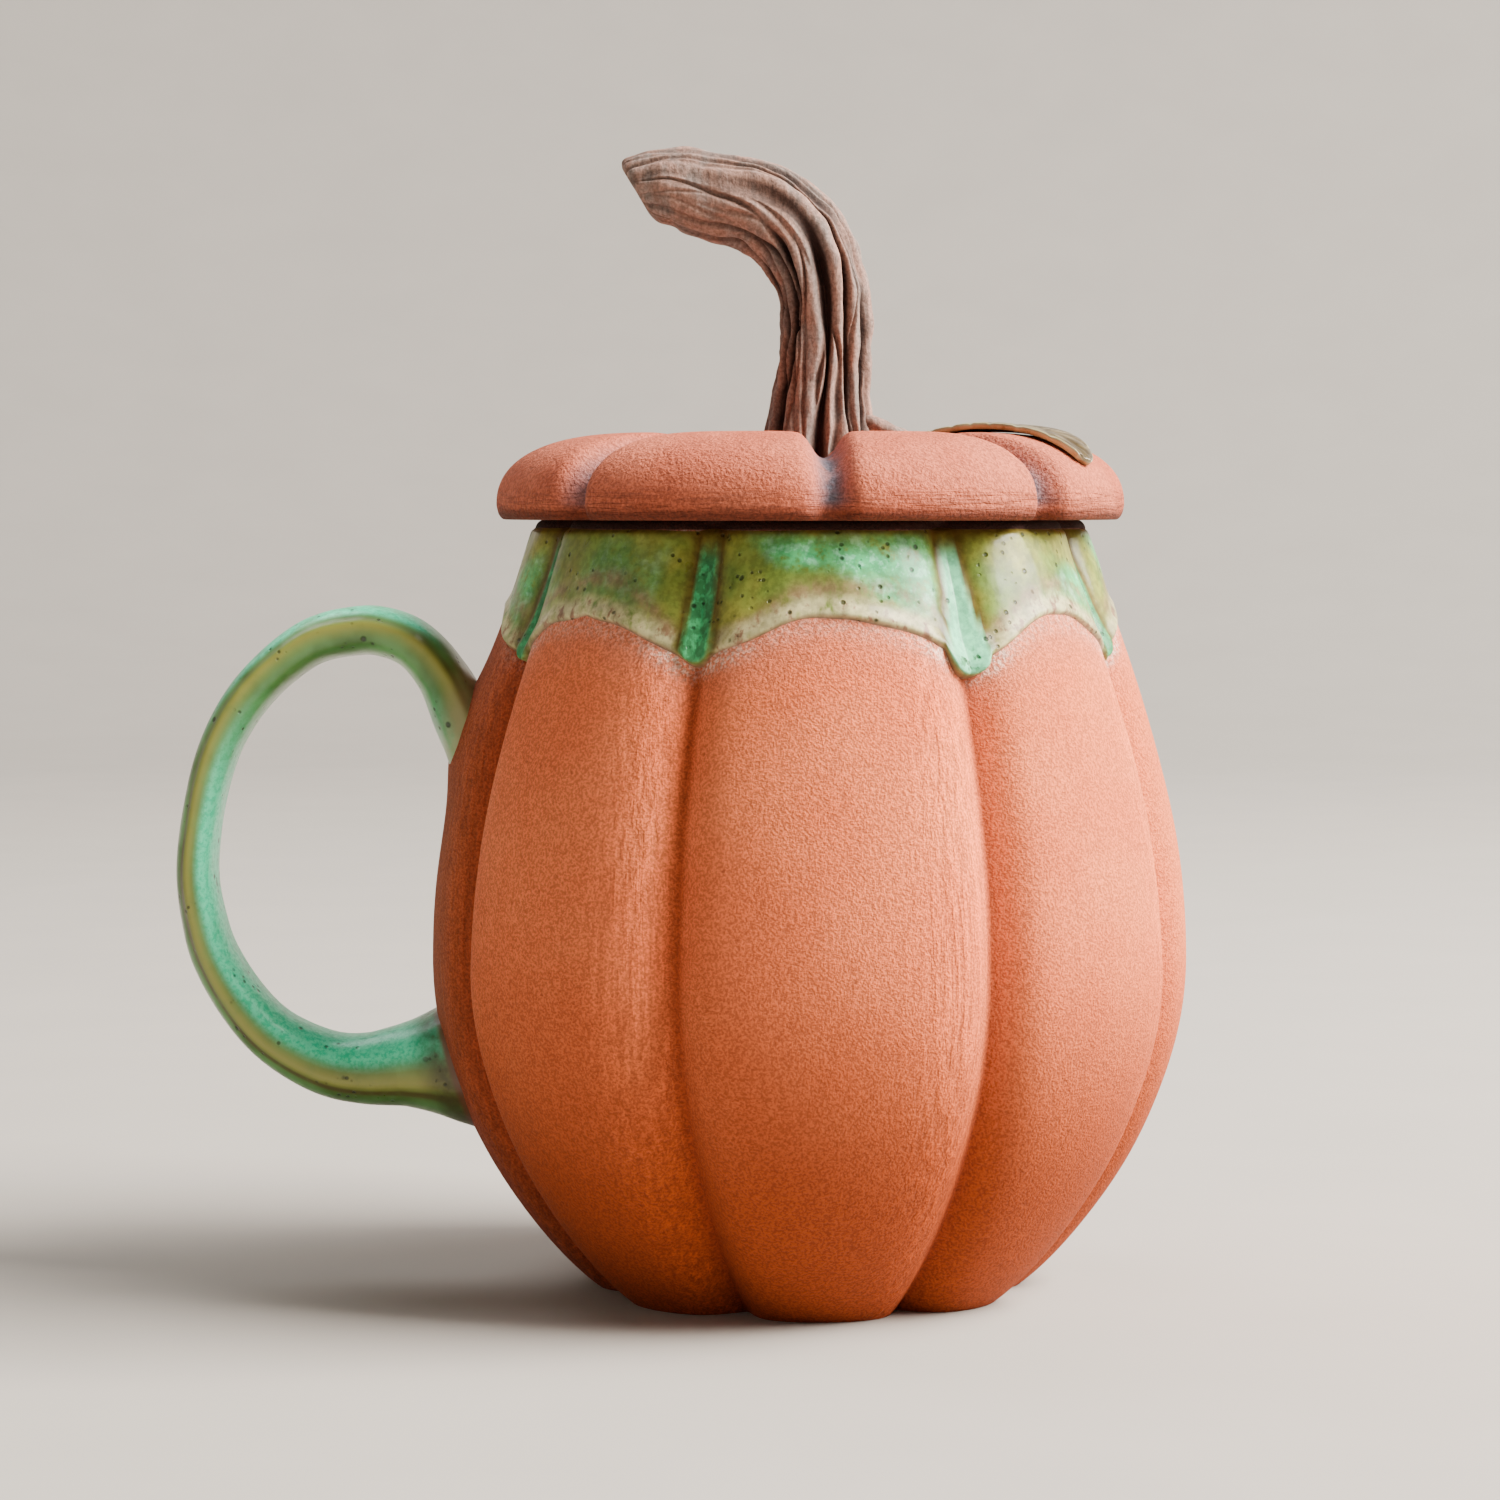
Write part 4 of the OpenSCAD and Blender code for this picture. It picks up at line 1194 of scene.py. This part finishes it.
def stage():
    """A plain pale floor that curves up into a wall all round."""
    turn = np.linspace(-math.pi / 2, 0, 24)
    curve_r = STAGE_R - STAGE_FLOOR_R
    cove = [(STAGE_FLOOR_R + curve_r * math.cos(a), curve_r * (1 + math.sin(a))) for a in turn]
    profile = [(0.05, 0), (0.4, 0), (0.8, 0)] + cove + [(STAGE_R, STAGE_H)]
    rings = turned(profile, sides=96)
    rows, cols = rings.shape[:2]
    mesh = bpy.data.meshes.new("floor")
    centre = np.arange(cols)[::-1][None, :]
    faces = grid_faces(rows, cols, False).tolist() + centre.tolist()
    mesh.from_pydata(rings.reshape(-1, 3).tolist(), [], faces)
    mesh.shade_smooth()
    look = Look("plain_stage", roughness=0.9, specular_ior_level=0.2)
    look.set(base_color=look.shade(STAGE_COLOUR, look.noise(40, 2.0), 0.97, 1.03))
    mesh.materials.append(look.material)
    floor = add_object("floor", mesh)


def lamp(name, place, aim, size, watts, colour):
    """A soft square lamp at a place, facing another, both in metres."""
    data = bpy.data.lights.new(name, "AREA")
    data.shape = "SQUARE"
    data.size = size
    data.energy = watts
    data.color = colour
    light = add_object(name, data)
    light.location = place
    light.rotation_euler = (Vector(aim) - Vector(place)).to_track_quat("-Z", "Y").to_euler()


MIDDLE = (cad_low + cad_high) / 2
SUNLIGHT = (1.0, 0.95, 0.88)
SKYLIGHT = (0.93, 0.96, 1.0)
SKY_STRENGTH = 0.08


def around(azimuth, elevation, distance):
    """A place seen from the middle of the object in that direction; azimuth 0 is the front."""
    a, e = math.radians(azimuth), math.radians(elevation)
    away = Vector((math.sin(a) * math.cos(e), -math.cos(a) * math.cos(e), math.sin(e)))
    return MIDDLE + away * distance


def lights():
    """A large window high on the right, with a dim room round it and light on the wall behind."""
    lamp("window", around(80, 40, 1.3), MIDDLE, 0.85, 106, SUNLIGHT)
    lamp("fill", around(-40, 20, 1.5), MIDDLE, 1.2, 0.6, SKYLIGHT)
    lamp("back_fill", around(225, 60, 1.6), MIDDLE, 1.0, 13, (1.0, 1.0, 1.0))
    lamp("wall_light", (1.3, 0.6, 1.7), (1.1, STAGE_R, 1.0), 1.0, 80, (1.0, 0.98, 0.95))
    world = bpy.data.worlds.new("soft_room")
    world.use_nodes = True
    background = world.node_tree.nodes["Background"]
    background.inputs["Color"].default_value = (*SKYLIGHT, 1.0)
    background.inputs["Strength"].default_value = SKY_STRENGTH
    bpy.context.scene.world = world


CAMERA_PLACE = (0, -0.600, 0.1107)
CAMERA_SENSOR = 36
CAMERA_LENS = 102.5
CAMERA_DOWN = 3.349
CAMERA_LEFT = 0.805


def camera():
    data = bpy.data.cameras.new("camera")
    data.sensor_width = CAMERA_SENSOR
    data.lens = CAMERA_LENS
    eye = add_object("camera", data)
    eye.location = CAMERA_PLACE
    eye.rotation_euler = (math.radians(90 - CAMERA_DOWN), 0, math.radians(CAMERA_LEFT))
    bpy.context.scene.camera = eye


# -------- the whole mug

camera()
lights()
stage()
mug_body()
collar()
strap_glaze = handle_glaze()
strap_end = len(STRAP_LINE) - 1
handle(strap_glaze)
joint("upper_joint_clay", "upper_joint_fillet", 0, FILLET_SPAN, UPPER_FILLET, strap_glaze)
joint("lower_joint_clay", "lower_joint_fillet", strap_end, strap_end - FILLET_SPAN, LOWER_FILLET, strap_glaze)
pale_glaze = liner_glaze()
liner(pale_glaze)
lid_cap()
lid_flange(bpy.data.materials["lid_clay"])
lid_liner(pale_glaze)
stem()
leaf()
leaf_stalk()
